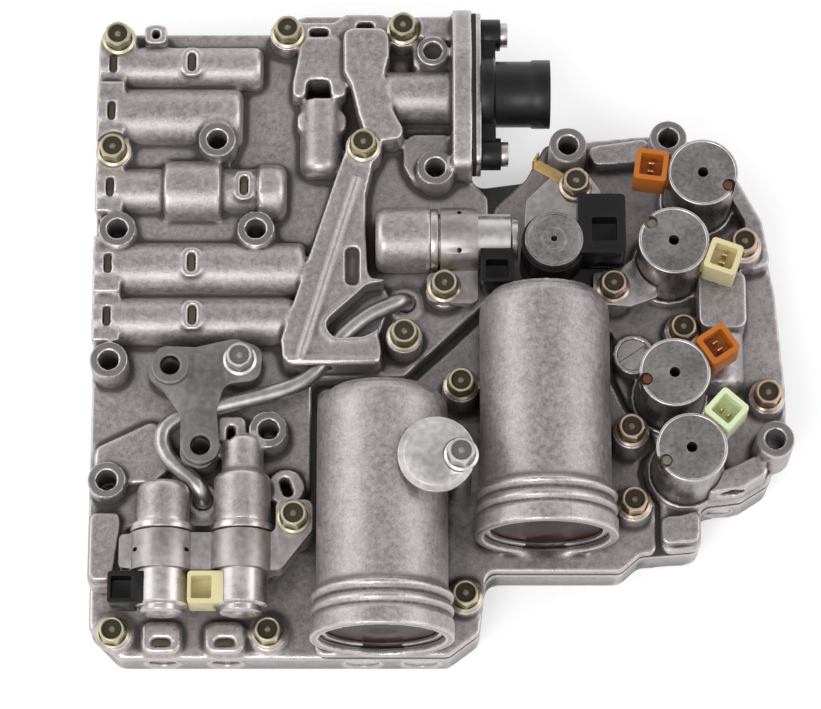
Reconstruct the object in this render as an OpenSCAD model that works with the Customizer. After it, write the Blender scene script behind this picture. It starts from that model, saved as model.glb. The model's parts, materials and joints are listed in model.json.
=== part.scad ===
// Automatic transmission valve body: a base casting, a separator plate, an upper casting
// with spool valves, an accumulator casting with two pistons, a casting that carries the
// shift solenoids, and the pressure solenoids with their clamps.
// The origin lies on the case face, +Z points away from the case, +X along the longest side.

/* [Layers] */
// Height of the base casting
base_h = 18; // [15:0.5:24]
// Thickness of the separator plate
plate_t = 1.5; // [0.8:0.1:3]
// Thickness of the upper casting's web
web_h = 11; // [8:0.5:13]
// Thickness of the accumulator and solenoid castings' floor
floor_h = 4.5; // [3:0.5:7]
// Gap between the castings on the separator plate
casting_gap = 2; // [1:0.25:3]
// Depth of the oil tracks in the case face
track_depth = 7; // [4:0.5:9]
// Width of the oil tracks
track_w = 8; // [5:0.5:10]

/* [Fasteners] */
// Thread diameter of the flange bolts
bolt_d = 6; // [5:0.5:7]
// Width across the flats of a bolt head
head_af = 10; // [9:0.5:11]
// Height of a bolt head with its flange
head_h = 7.5; // [5:0.5:10]
// Diameter of a bolt's flange
flange_d = 13.5; // [12:0.5:15]
// Length of thread in the base casting
thread_l = 12; // [8:0.5:13]
// Diameter of the case bolt holes
case_hole_d = 8; // [6:0.5:9]
// Wall of a boss round its hole
boss_wall = 3.6; // [2.5:0.1:4.5]
// Height of the case bolt bosses above the plate
boss_h = 25.5; // [22:0.5:30]
// Height of the bolt bosses above the plate
bolt_boss_h = 20.5; // [17:0.5:24]

/* [Spool valves] */
// Wall of a valve rib round its bore
rib_wall = 3.9; // [3:0.1:4.5]
// Height of the rib axes above the plate
rib_lift = 13.5; // [12.5:0.5:16]
// Height of the base valve axes above the case face
base_valve_z = 9; // [8:0.25:10]
// Travel of a spool
spool_travel = 5; // [3:0.5:6]
// Radial clearance of a spool in its bore
spool_clear = 0.05; // [0.02:0.01:0.1]
// Length of a bore plug
plug_l = 9; // [8:0.5:11]
// Depth of a bore plug below its mouth
plug_set = 1.5; // [0.5:0.25:3]
// Length of a valve spring
valve_spring_l = 14; // [11:0.5:18]
// Wire diameter of a valve spring
valve_wire_d = 1.2; // [0.8:0.1:1.6]
// Thickness of a retaining key
key_t = 2.6; // [2:0.1:3]
// Width of a retaining key
key_w = 7.6; // [6:0.2:8.6]
// Clearance of a key in its slot
key_clear = 0.3; // [0.1:0.05:0.5]

/* [Accumulators] */
// Outer radius of an accumulator tube
acc_r = 25.7; // [23:0.1:27]
// Wall of an accumulator tube
acc_wall = 3.2; // [2.5:0.1:4]
// Length of an accumulator tube
acc_len = 100; // [90:1:110]
// Thickness of the closed end
acc_end_t = 5; // [4:0.5:8]
// Height of the beads at the mouth
bead_h = 2.4; // [1:0.1:3]
// Length of a bead
bead_l = 6; // [4:0.5:7]
// Length of the plain band at the mouth
mouth_band = 8; // [7:0.5:12]
// Depth of the step that seats the end cap
cap_seat = 8.2; // [7:0.1:10]
// Width of the step that seats the end cap
cap_step = 1.9; // [1.5:0.1:2.2]
// Thickness of an end cap
cap_t = 3.6; // [3:0.1:4.5]
// Thickness of a snap ring
ring_t = 1.6; // [1.2:0.1:2]
// Width of a snap ring
ring_w = 3.4; // [2.5:0.1:4.5]
// Length of an accumulator piston
piston_l = 26; // [20:1:30]
// Travel of an accumulator piston
piston_travel = 18; // [10:1:25]
// Radial clearance of a piston in its tube
piston_clear = 0.06; // [0.02:0.01:0.1]
// Wire diameter of an accumulator spring
acc_wire_d = 3.4; // [2.4:0.2:4]

/* [Shift solenoids] */
// Radius of a shift solenoid can
can_r = 13.8; // [12.5:0.1:14.2]
// Height of a shift solenoid can
can_h = 36; // [32:0.5:40]
// Wall of a shift solenoid can
can_wall = 1.3; // [1:0.1:2]
// Radius of a shift solenoid nozzle
nozzle_r = 5; // [4:0.25:6]
// Length of a shift solenoid nozzle below the floor
nozzle_l = 14; // [10:0.5:16]
// Width of a connector block
conn_w = 13; // [10.5:0.5:13]
// Height of a connector block
conn_h = 15; // [13:0.5:18]
// Wall of a connector block round its socket
conn_wall = 2; // [1.5:0.1:2.4]
// Depth of a connector socket
socket_depth = 8; // [6:0.5:10]
// Clearance between fixed pieces that fit together
fit = 0.1; // [0.05:0.01:0.3]

/* [Pressure solenoids] */
// Radius of a pressure solenoid can
psol_r = 10.5; // [9.5:0.1:11.5]
// Length of the can in front of its flange
psol_l = 32; // [28:0.5:36]
// Radius of a pressure solenoid flange
psol_flange_r = 12.6; // [12:0.1:13.5]
// Radius of a pressure solenoid nose
psol_nose_r = 7; // [6:0.25:8]
// Length of a pressure solenoid nose
psol_nose_l = 14; // [10:0.5:16]
// Height of the pressure solenoid axes above the plate
psol_lift = 20.5; // [19:0.5:24]
// Length of a clamp collar along its solenoid
collar_l = 15; // [12:0.5:17]
// Wall of a clamp collar
collar_wall = 2.6; // [2:0.1:3.2]
// Thickness of the solenoid flange
psol_flange_t = 3; // [2:0.25:4]

/* [Bracket, tube and connector] */
// Thickness of the hold-down bracket
bracket_t = 2.6; // [2:0.1:3.5]
// Height of the collars on the bracket
bracket_collar_h = 3; // [2:0.25:4]
// Diameter of the steel tube
tube_d = 7; // [6:0.25:7.5]
// Height of the tube above the plate
tube_lift = 18.5; // [17.5:0.5:20]
// Thickness of the keeper plates
keeper_t = 2; // [1.5:0.1:3]
// Radius of the retainer disc
disc_r = 15; // [13:0.25:15.5]
// Thickness of the retainer disc
disc_t = 2; // [1.5:0.1:3]
// Outer radius of the harness connector
harness_r = 14; // [12.5:0.25:15]
// Length of the harness connector
harness_l = 28; // [24:0.5:32]
// Wall of the harness connector
harness_wall = 2.6; // [2:0.1:3.5]
// Thickness of the connector plate
flange_plate_t = 2; // [1.5:0.1:3]
// Thickness of the connector gasket
gasket_t = 1.5; // [1:0.1:2.5]

/* [Hidden] */
$fn = 64;
deck_z = base_h + plate_t;
web_z = deck_z + web_h;
floor_z = deck_z + floor_h;
rib_z = deck_z + rib_lift;
psol_z = deck_z + psol_lift;
tube_r = tube_d / 2;
tube_z = deck_z + tube_lift;
bracket_z = tube_z + tube_r + 0.3;
bolt_r = bolt_d / 2;
bolt_hole_r = bolt_r + 0.3;
thread_r = bolt_r + 0.05;
thread_z = base_h - thread_l;
case_hole_r = case_hole_d / 2;
case_boss_r = case_hole_r + boss_wall;
bolt_boss_r = flange_d / 2 + 0.6;
spot_r = flange_d / 2 + 0.4;
// Height that every cut from above passes
cut_top = deck_z + 80;

// Outlines, counter-clockwise, as [x, y]
left_x = -138;
front_y = -128;
right_side = [
  [4, front_y], [16, -119], [19, -94], [72, -94], [80, -87], [104, -85], [104, -67], [120, -65],
  [131, -58], [139, -38], [139, -18], [136, 22], [131, 50], [121, 69], [108, 87], [86, 90],
  [44, 86], [36, 71]
];
parting = [[-50.5, -16.5], [-13.5, -15.5], [20.5, 17], [20.5, 60]];
parting_side = [for (p = parting) p + casting_gap * [1, -1]];
// Where the accumulator casting meets the solenoid casting, from the front edge to the rear
split = [
  [86, -86.5], [86, -66], [81, -60], [79.5, -54], [80.5, -48.5], [85, -44], [83.6, -38], [79, -33],
  [74, -26], [68.6, -14], [68.6, 4], [62, 10], [62, 14.2], [21.7, 14.2]
];
split_rear = len(split) - 2;
split_side = [
  for (i = [0:len(split) - 1]) split[i] + casting_gap * [1, i < split_rear ? 0 : 1]
];
front_count = 5;
top_side = [[14, 68], [14, 140], [-56, 140], [-66, 132], [left_x, 132]];
base_outline = concat([[left_x, -116], [-126, front_y]], right_side, top_side);
upper_outline = concat(
  [[left_x, -102], [-127, -102], [-123, -77], [-60, -77], [-50.5, -62]], parting, top_side
);
acc_outline = concat(
  [[parting_side[0].x, front_y]], [for (i = [0:front_count - 1]) right_side[i]], split,
  [parting_side[1], parting_side[0]]
);
solenoid_outline = concat(
  [for (i = [front_count:len(right_side) - 1]) right_side[i]], [parting_side[3]],
  [for (i = [len(split) - 1:-1:0]) split_side[i]]
);

// Spool valves in the ribs, as [y, bore radius, depth, place of the second key or 0]
rib_valves = [
  [115.5, 5, 63, 38],
  [93.5, 8.4, 55, 0],
  [61.5, 6, 71, 60],
  [28.4, 7.2, 81, 39.5],
  [6.6, 5.8, 77, 40]
];
base_valve_x = [-109, -84];
base_valve_bore = 5.5;
base_valve_depth = 60;
floor_rib_x = 113.5;
floor_rib_y = 28;
floor_rib_bore = 4.6;
floor_rib_r = floor_rib_bore + rib_wall;
floor_rib_z = floor_z + 6;
floor_rib_depth = 46;
// All spool valves, as [mouth x, mouth y, axis z, direction, bore radius, depth, second key or 0]
valves = concat(
  [for (v = rib_valves) [left_x, v[0], rib_z, 0, v[1], v[2], v[3]]],
  [for (x = base_valve_x) [x, front_y, base_valve_z, 90, base_valve_bore, base_valve_depth, 0]],
  [[floor_rib_x, floor_rib_y, floor_rib_z, -90, floor_rib_bore, floor_rib_depth, 0]]
);
valve_names = [
  "rib_1", "rib_2", "rib_3", "rib_4", "rib_5", "base_1", "base_2", "floor"
];
key_at = 6;
plug_end = plug_set + plug_l;
spool_from = plug_end + valve_spring_l;
slot_top = rib_z + 16;

// Case bolt bosses on the upper casting, as [x, y, height above the plate]
case_posts = [
  [-89, 80.5, boss_h], [-128.5, 42.5, boss_h - 1], [-73, 42.5, boss_h - 1], [-130.5, -13, boss_h],
  [-67, -41.5, boss_h - 1], [-130.5, -61, boss_h - 5], [-1, 68.4, boss_h]
];
// Case bolt holes under the hold-down bracket
bracket_posts = [[-106, -16], [-93.5, -49]];
// Case bolt bosses on the solenoid casting
floor_posts = [[52.5, 78], [93, 81], [132.5, -45.7]];
// Bolts, as [x, y, height of the seat above the plate]
upper_bolts = [
  [-130, 125.8, bolt_boss_h], [-131, 77, bolt_boss_h], [-61, 128.5, bolt_boss_h],
  [-14, 130, bolt_boss_h], [-30, 77.5, bolt_boss_h + 4], [-13.5, -2.5, bolt_boss_h + 3]
];
bracket_bolt = [-78.5, -13];
single_clamp_bolt = [2.5, 19];
twin_clamp_bolt = [-56.5, -78];
acc_bolts = [
  [9, -22, bolt_boss_h], [10.5, -105, 7.5], [76, -41, bolt_boss_h], [77, -69, 14.5]
];
floor_bolts = [[122.5, 36.5, bolt_boss_h], [98, 3.5, 11.5], [131, -24, 11.5]];
keeper_bolts = [[55.5, 62], [70, 19]];
keeper_seat = deck_z + bolt_boss_h - keeper_t;
keeper_clear = 0.2;
base_bolts = [[-128, -118], [-67, -118]];
base_pad_h = 2;
tab_t = 0.8;
slot_plug = [78.2, -6.3];
slot_plug_r = 6.4;

// Accumulators, as the middle of each closed end
acc_ends = [[-22, -27.5], [42, 13]];
acc_mouths = [for (e = acc_ends) e - [0, acc_len]];
acc_lift = 0.2;
acc_z = deck_z + acc_r + bead_h + acc_lift;
acc_bore_r = acc_r - acc_wall;
cap_r = acc_bore_r + cap_step;
piston_r = acc_bore_r - piston_clear;
piston_to = acc_len - acc_end_t - 0.3;
piston_from = piston_to - piston_l;
piston_floor = 6;
// The post in the end cap stops the piston at the end of its travel
stop_r = 8;
stop_to = piston_to - piston_floor - piston_travel;
seal_w = 2.4;
seal_depth = 1.6;
seal_clear = 0.1;
seal_places = [4, 17];

// Shift solenoids, as [x, y, direction of the connector]
shift_solenoids = [
  [105.4, 60.6, 172], [93.2, 31.9, -20], [92.4, -22.9, 34], [98.4, -53.5, 48]
];
conn_gap = 0.4;
conn_at = can_r + conn_gap + conn_w / 2;
solenoid_names = ["a", "b", "c", "d"];
solenoid_colours = ["darkorange", "wheat", "darkorange", "darkseagreen"];
can_top_t = 2.2;
nozzle_clear = 0.4;
notch_at = 160;
notch_depth = 9;
can_floor_t = 2;
notch_r = 2.6;
conn_arm_w = 9;
black_solenoid = [46, 34];
black_can_r = 11.6;
black_can_h = can_h - 4;

// Pressure solenoids
front_psol_x = [-108, -77];
front_psol_y = -80;
front_psol_colours = ["dimgray", "wheat"];
level_psol_x = -3;
level_psol_y = 39;
collar_gap = 1;
psol_end = psol_flange_t + psol_l;
collar_r = psol_r + collar_wall;

// Route of the steel tube, as [x, y, height above the tube's own level]
tube_route = [
  [-13, 15, -16], [-13, 15, -10], [-13, 15, -5], [-15, 14, -1], [-20, 11.6, 0], [-28, 7.5, 0],
  [-37, 0, 0], [-44, -9, 0], [-51, -18, 0], [-60, -23, 0], [-74, -27, 0], [-88, -30.5, 0],
  [-100, -34, 0], [-107.5, -39, 0], [-109, -45.5, 0], [-106.5, -51.5, 0], [-102.5, -55.5, 0],
  [-98, -59.5, 0], [-94, -64, -1], [-93, -67, -5], [-93, -67, -10], [-93, -67, -16]
];
tube_seat_r = tube_r + 0.3;
tube_ends = [tube_route[0], tube_route[len(tube_route) - 1]];

// Retainer disc on its sleeve between the accumulators
disc_at = [-1, -61];
disc_bolt = [8.5, -61.5];
disc_sleeve_r = 4.5;
disc_z = acc_z + acc_r + 0.4;

// Harness connector on the flange of the upper casting
harness_y = 102;
harness_z = deck_z + 20;
flange_x = 14;
flange_t = 8;
flange_half = 35;
flange_h = 34;
sheet_half = flange_half - 2;
sheet_ear = 9;
sheet_low = harness_r + 2;
sheet_high = harness_r - 1;
harness_x = flange_x + gasket_t + flange_plate_t;
screw_offsets = [-26, 26];
screw_r = 5;
screw_seat = 8;
socket_from = harness_l - 18;
pin_angles = [0:45:315];
pin_circle = 6.5;
pin_r = 0.9;
pin_l = 6;
pin_root = 3;

// Points and profiles

function unit(v) = v / norm(v);

// One corner of an outline, as an arc of radius r where the sides are long enough
function corner(a, b, c, r, n) =
  let (
    u = unit(a - b),
    v = unit(c - b),
    half = acos(max(-1, min(1, u * v))) / 2,
    t = min(r / tan(half), 0.45 * norm(a - b), 0.45 * norm(c - b)),
    m = b + unit(u + v) * t / cos(half),
    p = b + u * t - m,
    q = b + v * t - m,
    from = atan2(p.y, p.x),
    turn = atan2(q.y, q.x) - from,
    sweep = turn > 180 ? turn - 360 : turn < -180 ? turn + 360 : turn
  )
  [for (i = [0:n]) m + norm(p) * [cos(from + sweep * i / n), sin(from + sweep * i / n)]];

// An outline with every corner rounded
function rounded(points, r, n = 4) =
  let (k = len(points))
  [for (i = [0:k - 1]) each corner(points[(i + k - 1) % k], points[i], points[(i + 1) % k], r, n)];

// A rectangle about the origin
function rect(w, d) = [[-w, -d] / 2, [w, -d] / 2, [w, d] / 2, [-w, d] / 2];

// The outline of a band of width w along a line of points
function band_normal(points, i) =
  let (
    k = len(points) - 1,
    a = unit(points[max(i, 1)] - points[max(i, 1) - 1]),
    b = unit(points[min(i, k - 1) + 1] - points[min(i, k - 1)]),
    m = unit(a + b)
  )
  [-m.y, m.x] / (m * a);
function band(points, w) =
  let (k = len(points) - 1)
  concat(
    [for (i = [k:-1:0]) points[i] + band_normal(points, i) * w / 2],
    [for (i = [0:k]) points[i] - band_normal(points, i) * w / 2]
  );

// Half section of a round bar with a rounded far end, as [radius, distance]
function domed(r, l, e, n = 5) =
  concat(
    [[0, 0], [r, 0]],
    [for (i = [0:n]) [r - e + e * cos(90 * i / n), l - e + e * sin(90 * i / n)]],
    [[0, l]]
  );

// Half section of a spool: lands of radius r with necks between the given places
function spool_section(from, to, necks, r, neck_r) =
  concat(
    [[0, from], [r, from]],
    [for (n = necks) each [[r, n[0]], [neck_r, n[0]], [neck_r, n[1]], [r, n[1]]]],
    [[r, to], [0, to]]
  );

// A bead on an outer wall, as half section points
function bead(at, l, r, h, n = 6) =
  [for (i = [0:n]) [r + h * sin(180 * i / n), at + l * i / n]];

// Points of a coil along Z
function coil(r, from, to, turns, steps) =
  let (n = turns * steps)
  [for (i = [0:n]) [r * cos(360 * i / steps), r * sin(360 * i / steps), from + (to - from) * i / n]];

// Smooth curve through the points of a route
function route_point(p, i) = p[max(0, min(len(p) - 1, i))];
function smooth_route(p, n) =
  concat(
    [for (i = [0:len(p) - 2]) for (j = [0:n - 1])
      let (
        t = j / n,
        a = route_point(p, i - 1),
        b = route_point(p, i),
        c = route_point(p, i + 1),
        d = route_point(p, i + 2)
      )
      (2 * b + (c - a) * t + (2 * a - 5 * b + 4 * c - d) * t * t
        + (3 * b - a - 3 * c + d) * t * t * t) / 2
    ],
    [p[len(p) - 1]]
  );

// Directions and side vectors along a route
function directions(p) =
  [for (i = [0:len(p) - 1]) unit(p[min(i + 1, len(p) - 1)] - p[max(i - 1, 0)])];
function side_vectors(d, side, i = 0) =
  i == len(d) ? [] :
  let (s = unit(side - (side * d[i]) * d[i])) concat([s], side_vectors(d, s, i + 1));

// Shared shapes

// A round wire or tube along a line of points
module wire(points, r, sides) {
  d = directions(points);
  s = side_vectors(d, abs(d[0].z) > 0.9 ? [1, 0, 0] : [0, 0, 1]);
  k = len(points);
  ring_points = [
    for (i = [0:k - 1]) for (j = [0:sides - 1])
      let (a = 360 * j / sides) points[i] + r * (cos(a) * s[i] + sin(a) * cross(d[i], s[i]))
  ];
  walls = [
    for (i = [0:k - 2]) for (j = [0:sides - 1])
      let (n = (j + 1) % sides)
      each [
        [i * sides + j, (i + 1) * sides + j, (i + 1) * sides + n],
        [i * sides + j, (i + 1) * sides + n, i * sides + n]
      ]
  ];
  ends = [[for (j = [0:sides - 1]) j], [for (j = [sides - 1:-1:0]) (k - 1) * sides + j]];
  polyhedron(ring_points, concat(walls, ends));
}

// A turned solid whose axis lies level, pointing in the given direction
module barrel(at, direction, section) {
  translate(at)
    rotate([0, 0, direction])
      rotate([0, 90, 0])
        rotate_extrude()
          polygon(section);
}

// A level hole or bar
module level_bar(at, direction, from, to, r) {
  translate(at)
    rotate([0, 0, direction])
      rotate([0, 90, 0])
        translate([0, 0, from])
          cylinder(r = r, h = to - from);
}

// A level round bar from point p to point q
module bar(p, q, z, r) {
  v = q - p;
  level_bar([p.x, p.y, z], atan2(v.y, v.x), 0, norm(v), r);
}

module post(p, from, to, r) {
  translate([p.x, p.y, from])
    cylinder(r = r, h = to - from);
}

module slab(points, from, to, r) {
  translate([0, 0, from])
    linear_extrude(to - from)
      polygon(rounded(points, r));
}

// A block with rounded upright edges
module pad(p, w, d, from, to, r = 2, turn = 0) {
  translate([p.x, p.y, from])
    rotate([0, 0, turn])
      linear_extrude(to - from)
        polygon(rounded(rect(w, d), r));
}

// Runs its children in the frame of a valve, with +Z from the mouth into the bore
module at_valve(v) {
  translate([v[0], v[1], v[2]])
    rotate([0, 0, v[3]])
      rotate([0, 90, 0])
        children();
}

// The slot that a retaining key drops through, d from the mouth of valve v
module key_place(v, d) {
  translate([v[0], v[1], v[2]])
    rotate([0, 0, v[3]])
      translate([d, 0, 0])
        children();
}

module key_slot(v, d, top) {
  key_place(v, d)
    linear_extrude(top)
      polygon(rounded(rect(key_t + 2 * key_clear, key_w + 2 * key_clear), 1));
}

module valve_cuts(v, top) {
  at_valve(v)
    translate([0, 0, -1])
      cylinder(r = v[4], h = v[5] + 1);
  key_slot(v, key_at, top);
  if (v[6] > 0)
    key_slot(v, v[6], top);
}

function neck_r(v) = v[4] - 2.4;

// A flange bolt head with a dished top; the shank ends at z = tip
module flange_bolt(p, seat, tip) {
  hex_r = head_af / sqrt(3);
  flange_h = 1.8;
  difference() {
    union() {
      post(p, tip, seat + flange_h, bolt_r);
      translate([p.x, p.y, seat])
        cylinder(r1 = flange_d / 2, r2 = flange_d / 2 - 0.9, h = flange_h);
      translate([p.x, p.y, seat + flange_h / 2])
        cylinder(r = hex_r, h = head_h - flange_h / 2, $fn = 6);
    }
    translate([p.x, p.y, seat + head_h - 0.9])
      cylinder(r1 = head_af / 2 - 1.6, r2 = head_af / 2 - 1, h = 1);
  }
}

// Castings and sheets

oil_tracks = [
  [[-120, 110], [-80, 110], [-62, 96], [-20, 112]],
  [[-112, 62], [-60, 62], [-44, 44], [-44, 16]],
  [[-112, 22], [-92, 8], [-66, 10]],
  [[-112, -36], [-80, -22], [-40, -34], [-6, -20], [26, -30], [58, -6]],
  [[-104, -58], [-60, -56], [-22, -68], [24, -62], [58, -68]],
  [[-18, 38], [14, 46], [40, 34], [74, 44], [104, 34]],
  [[74, 68], [100, 62]],
  [[82, -12], [112, -18], [120, -40]],
  [[0, 96], [-26, 92]],
  [[-120, 94], [-104, 94]],
  [[-28, 58], [-10, 54], [10, 60]],
  [[10, 2], [34, 6], [54, 18]],
  [[-60, -94], [-44, -88], [-20, -97], [0, -90]],
  [[30, -80], [50, -84], [66, -82]],
  [[110, 16], [126, 6]],
  [[-46, -112], [-14, -110]]
];
all_case_holes = concat(case_posts, bracket_posts, floor_posts);
all_bolts = concat(
  upper_bolts, [bracket_bolt, single_clamp_bolt, twin_clamp_bolt], acc_bolts, floor_bolts, keeper_bolts
);
front_plugs = [[-30, 6.4], [-7, 6.4], [112, 4.6]];
front_plug_y = [front_y, front_y, -66];
front_plug_l = 7;

module base_casting() {
  color("silver")
    difference() {
      union() {
        slab(base_outline, 0, base_h, 5);
        for (p = base_bolts)
          post(p, base_h - 1, base_h + base_pad_h, bolt_boss_r);
        for (x = base_valve_x)
          pad([x, front_y + 8], 16, 13, base_h - 1, base_h + 4, 4);
      }
      for (t = oil_tracks)
        translate([0, 0, -1])
          linear_extrude(track_depth + 1)
            polygon(rounded(band(t, track_w), 3));
      for (p = all_case_holes)
        post(p, -1, base_h + 1, case_hole_r);
      for (p = concat(all_bolts, base_bolts))
        post(p, thread_z - 1, base_h + base_pad_h + 1, thread_r);
      for (i = [5, 6])
        valve_cuts(valves[i], base_h);
      for (i = [0:len(front_plugs) - 1])
        level_bar([front_plugs[i].x, front_plug_y[i], base_valve_z], 90, -5, 14, front_plugs[i][1]);
      for (s = shift_solenoids)
        post(s, min(deck_z - nozzle_l, track_depth) - 1, base_h + 1, nozzle_r + nozzle_clear);
    }
}

module separator_plate() {
  color("dimgray")
    difference() {
      slab(
        concat([[left_x + 1, -98], [-122, -98], [-60, -76], [parting_side[0].x, -76]],
          [[parting_side[0].x, front_y]], right_side, top_side),
        base_h, deck_z, 5
      );
      for (p = all_case_holes)
        post(p, base_h - 1, deck_z + 1, case_hole_r);
      for (p = all_bolts)
        post(p, base_h - 1, deck_z + 1, bolt_hole_r);
      for (s = shift_solenoids)
        post(s, base_h - 1, deck_z + 1, nozzle_r + nozzle_clear);
    }
}

lug_top = deck_z + 22;
panel_top = lug_top + 2;
arm_top = lug_top + 4;
panel = [
  [-36.5, 78.5], [-25, 76.5], [-29, 58], [-29, 41.5], [-28, 21.5], [-20, 21.5], [-20, 12.5],
  [-24, -0.5], [-22.5, -8.5], [-23, -14.5], [-61.5, -14.5], [-62.5, -4], [-41.5, 63.5]
];
// Pocket in the panel where the steel tube comes up, and the rim round it
pocket = [[-45.5, 3], [-28.5, 19], [-17, 21], [-17, 10], [-24.5, -0.5], [-30, -3], [-42, -3.5]];
pocket_middle = [-31, 6];
pocket_rim = [for (p = pocket) pocket_middle + 1.16 * (p - pocket_middle)];
rim_h = 0.7;
pocket_z = tube_z - tube_r - 1.6;
rib_web_rise = 2;
// Forked lug at the top of the casting, with its window between the legs
fork = [
  [-56, 126], [-39, 126], [-39, 112], [-37, 106.5], [-37, 100], [-43.5, 100], [-43.5, 108],
  [-53.5, 108], [-53.5, 100], [-59, 100], [-59, 106.5], [-57, 116.5]
];
arm = [
  [-38.5, 129], [-20, 129], [-19.5, 117.5], [-22, 107], [-20, 97.5], [-16, 89], [-13.5, 85],
  [-15, 80.5], [-28, 79], [-32, 91], [-35, 104], [-38, 110]
];
blind_boss = [-2, 119];
blind_r = 3.7;
blind_depth = 4.5;

module upper_ribs() {
  for (v = rib_valves) {
    r = v[1] + rib_wall;
    barrel([left_x, v[0], rib_z], 0, domed(r, v[2] + rib_wall, 3.2));
    translate([left_x, v[0] - r - 0.6, deck_z])
      cube([11, 2 * r + 1.2, rib_lift + r - 1.6]);
    if (v[3] > 0)
      pad([left_x + v[3], v[0]], key_t + 5, key_w + 5, deck_z, rib_z + r + 0.4, 2.5);
  }
  // Web that joins each rib to the next
  for (i = [0:len(rib_valves) - 2]) {
    v = rib_valves[i];
    next = rib_valves[i + 1];
    translate([left_x + 2, next[0], deck_z])
      cube([min(v[2], next[2]) - 3, v[0] - next[0], rib_lift + rib_web_rise]);
  }
  // Swelling and end cap of the third rib
  level_bar([left_x, rib_valves[2][0], rib_z], 0, 28, 50.5, rib_valves[2][1] + rib_wall + 3.2);
  barrel([left_x + 66, rib_valves[2][0], rib_z], 0, domed(rib_valves[2][1] + rib_wall + 1.8, 11, 4));
}

module upper_crown() {
  // Top rail, forked lug with its short rib, and the arm that leads to the bolt
  slab([[-58, 133.5], [-58, 124], [-20, 124], [-20, 137], [-38, 137], [-42, 133.5]],
    deck_z, lug_top - 1, 3);
  slab(fork, deck_z, lug_top, 4);
  slab([[-52, 99.5], [-43, 99.5], [-37, 94], [-37, 86], [-57, 86], [-57, 94]], deck_z, rib_z + 4.5, 4);
  barrel([-47.3, 100, rib_z], -90, domed(8.6, 32, 5));
  slab(arm, deck_z, arm_top, 4);
  // Neck, flange and webs behind the harness connector
  barrel([flange_x - flange_t + 1, harness_y, harness_z - 3.5], 180, domed(10.4, 28, 2));
  translate([flange_x, harness_y, 0])
    rotate([0, -90, 0])
      linear_extrude(flange_t)
        polygon(rounded([
          [deck_z, -flange_half], [deck_z, flange_half], [deck_z + flange_h - 6, flange_half],
          [deck_z + flange_h, 14], [deck_z + flange_h, -14], [deck_z + flange_h - 6, -flange_half]
        ], 5));
  slab([[-9, 135], [-9, 126], [7, 124], [7, 135]], deck_z, deck_z + boss_h - 1.5, 3);
  slab([[-14, 83], [-14, 73], [-9, 64], [7, 64], [7, 86.5], [-11, 86.5]], deck_z, web_z + 4, 4);
  pad(blind_boss, 16, 14, deck_z, deck_z + boss_h - 4, 4);
  post(blind_boss, deck_z, deck_z + boss_h, blind_r + 2.8);
  pad([-115, 128], 9, 8, deck_z, rib_z + 8, 2);
}

module upper_panel() {
  slab(panel, deck_z, panel_top, 4);
  intersection() {
    slab(panel, lug_top, panel_top + rim_h, 4);
    slab(pocket_rim, lug_top, panel_top + rim_h, 6);
  }
  // Ridge along the panel and the bead at its lower edge
  bar([-32.5, 64.5], [-55, -12], panel_top - 0.5, 1.8);
  bar([-60, -12.4], [-25, -12.4], panel_top - 0.5, 1.4);
}

module upper_sockets() {
  barrel([level_psol_x, level_psol_y, psol_z], 180, domed(psol_flange_r + 0.6, 22, 3.5));
  pad([-12, level_psol_y], 16, 18, deck_z, psol_z, 3);
  barrel([front_psol_x[0], front_psol_y, psol_z], 90, domed(psol_nose_r + 3.4, 17.5, 4));
  barrel([front_psol_x[1], front_psol_y, psol_z], 90, domed(psol_nose_r + 4.2, 21, 3));
  barrel([front_psol_x[1], front_psol_y, psol_z], 90, domed(psol_nose_r + 1.2, 36, 3));
  for (x = front_psol_x)
    pad([x, front_psol_y + 10], 15, 18, deck_z, psol_z, 3);
  // Raised fields between the sockets and the bracket
  slab([[-136, -46], [-112, -34], [-103, -52], [-112, -60], [-136, -62]], deck_z, web_z + 3, 4);
  slab([[-137, -73], [-137, -100.5], [-128, -100.5], [-125, -77], [-126, -73]], deck_z, web_z + 5, 3);
  pad([-82, -42], 12, 16, deck_z, web_z + 7, 3);
  post([-60, -63], deck_z, web_z + 6, 7.4);
}

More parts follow.
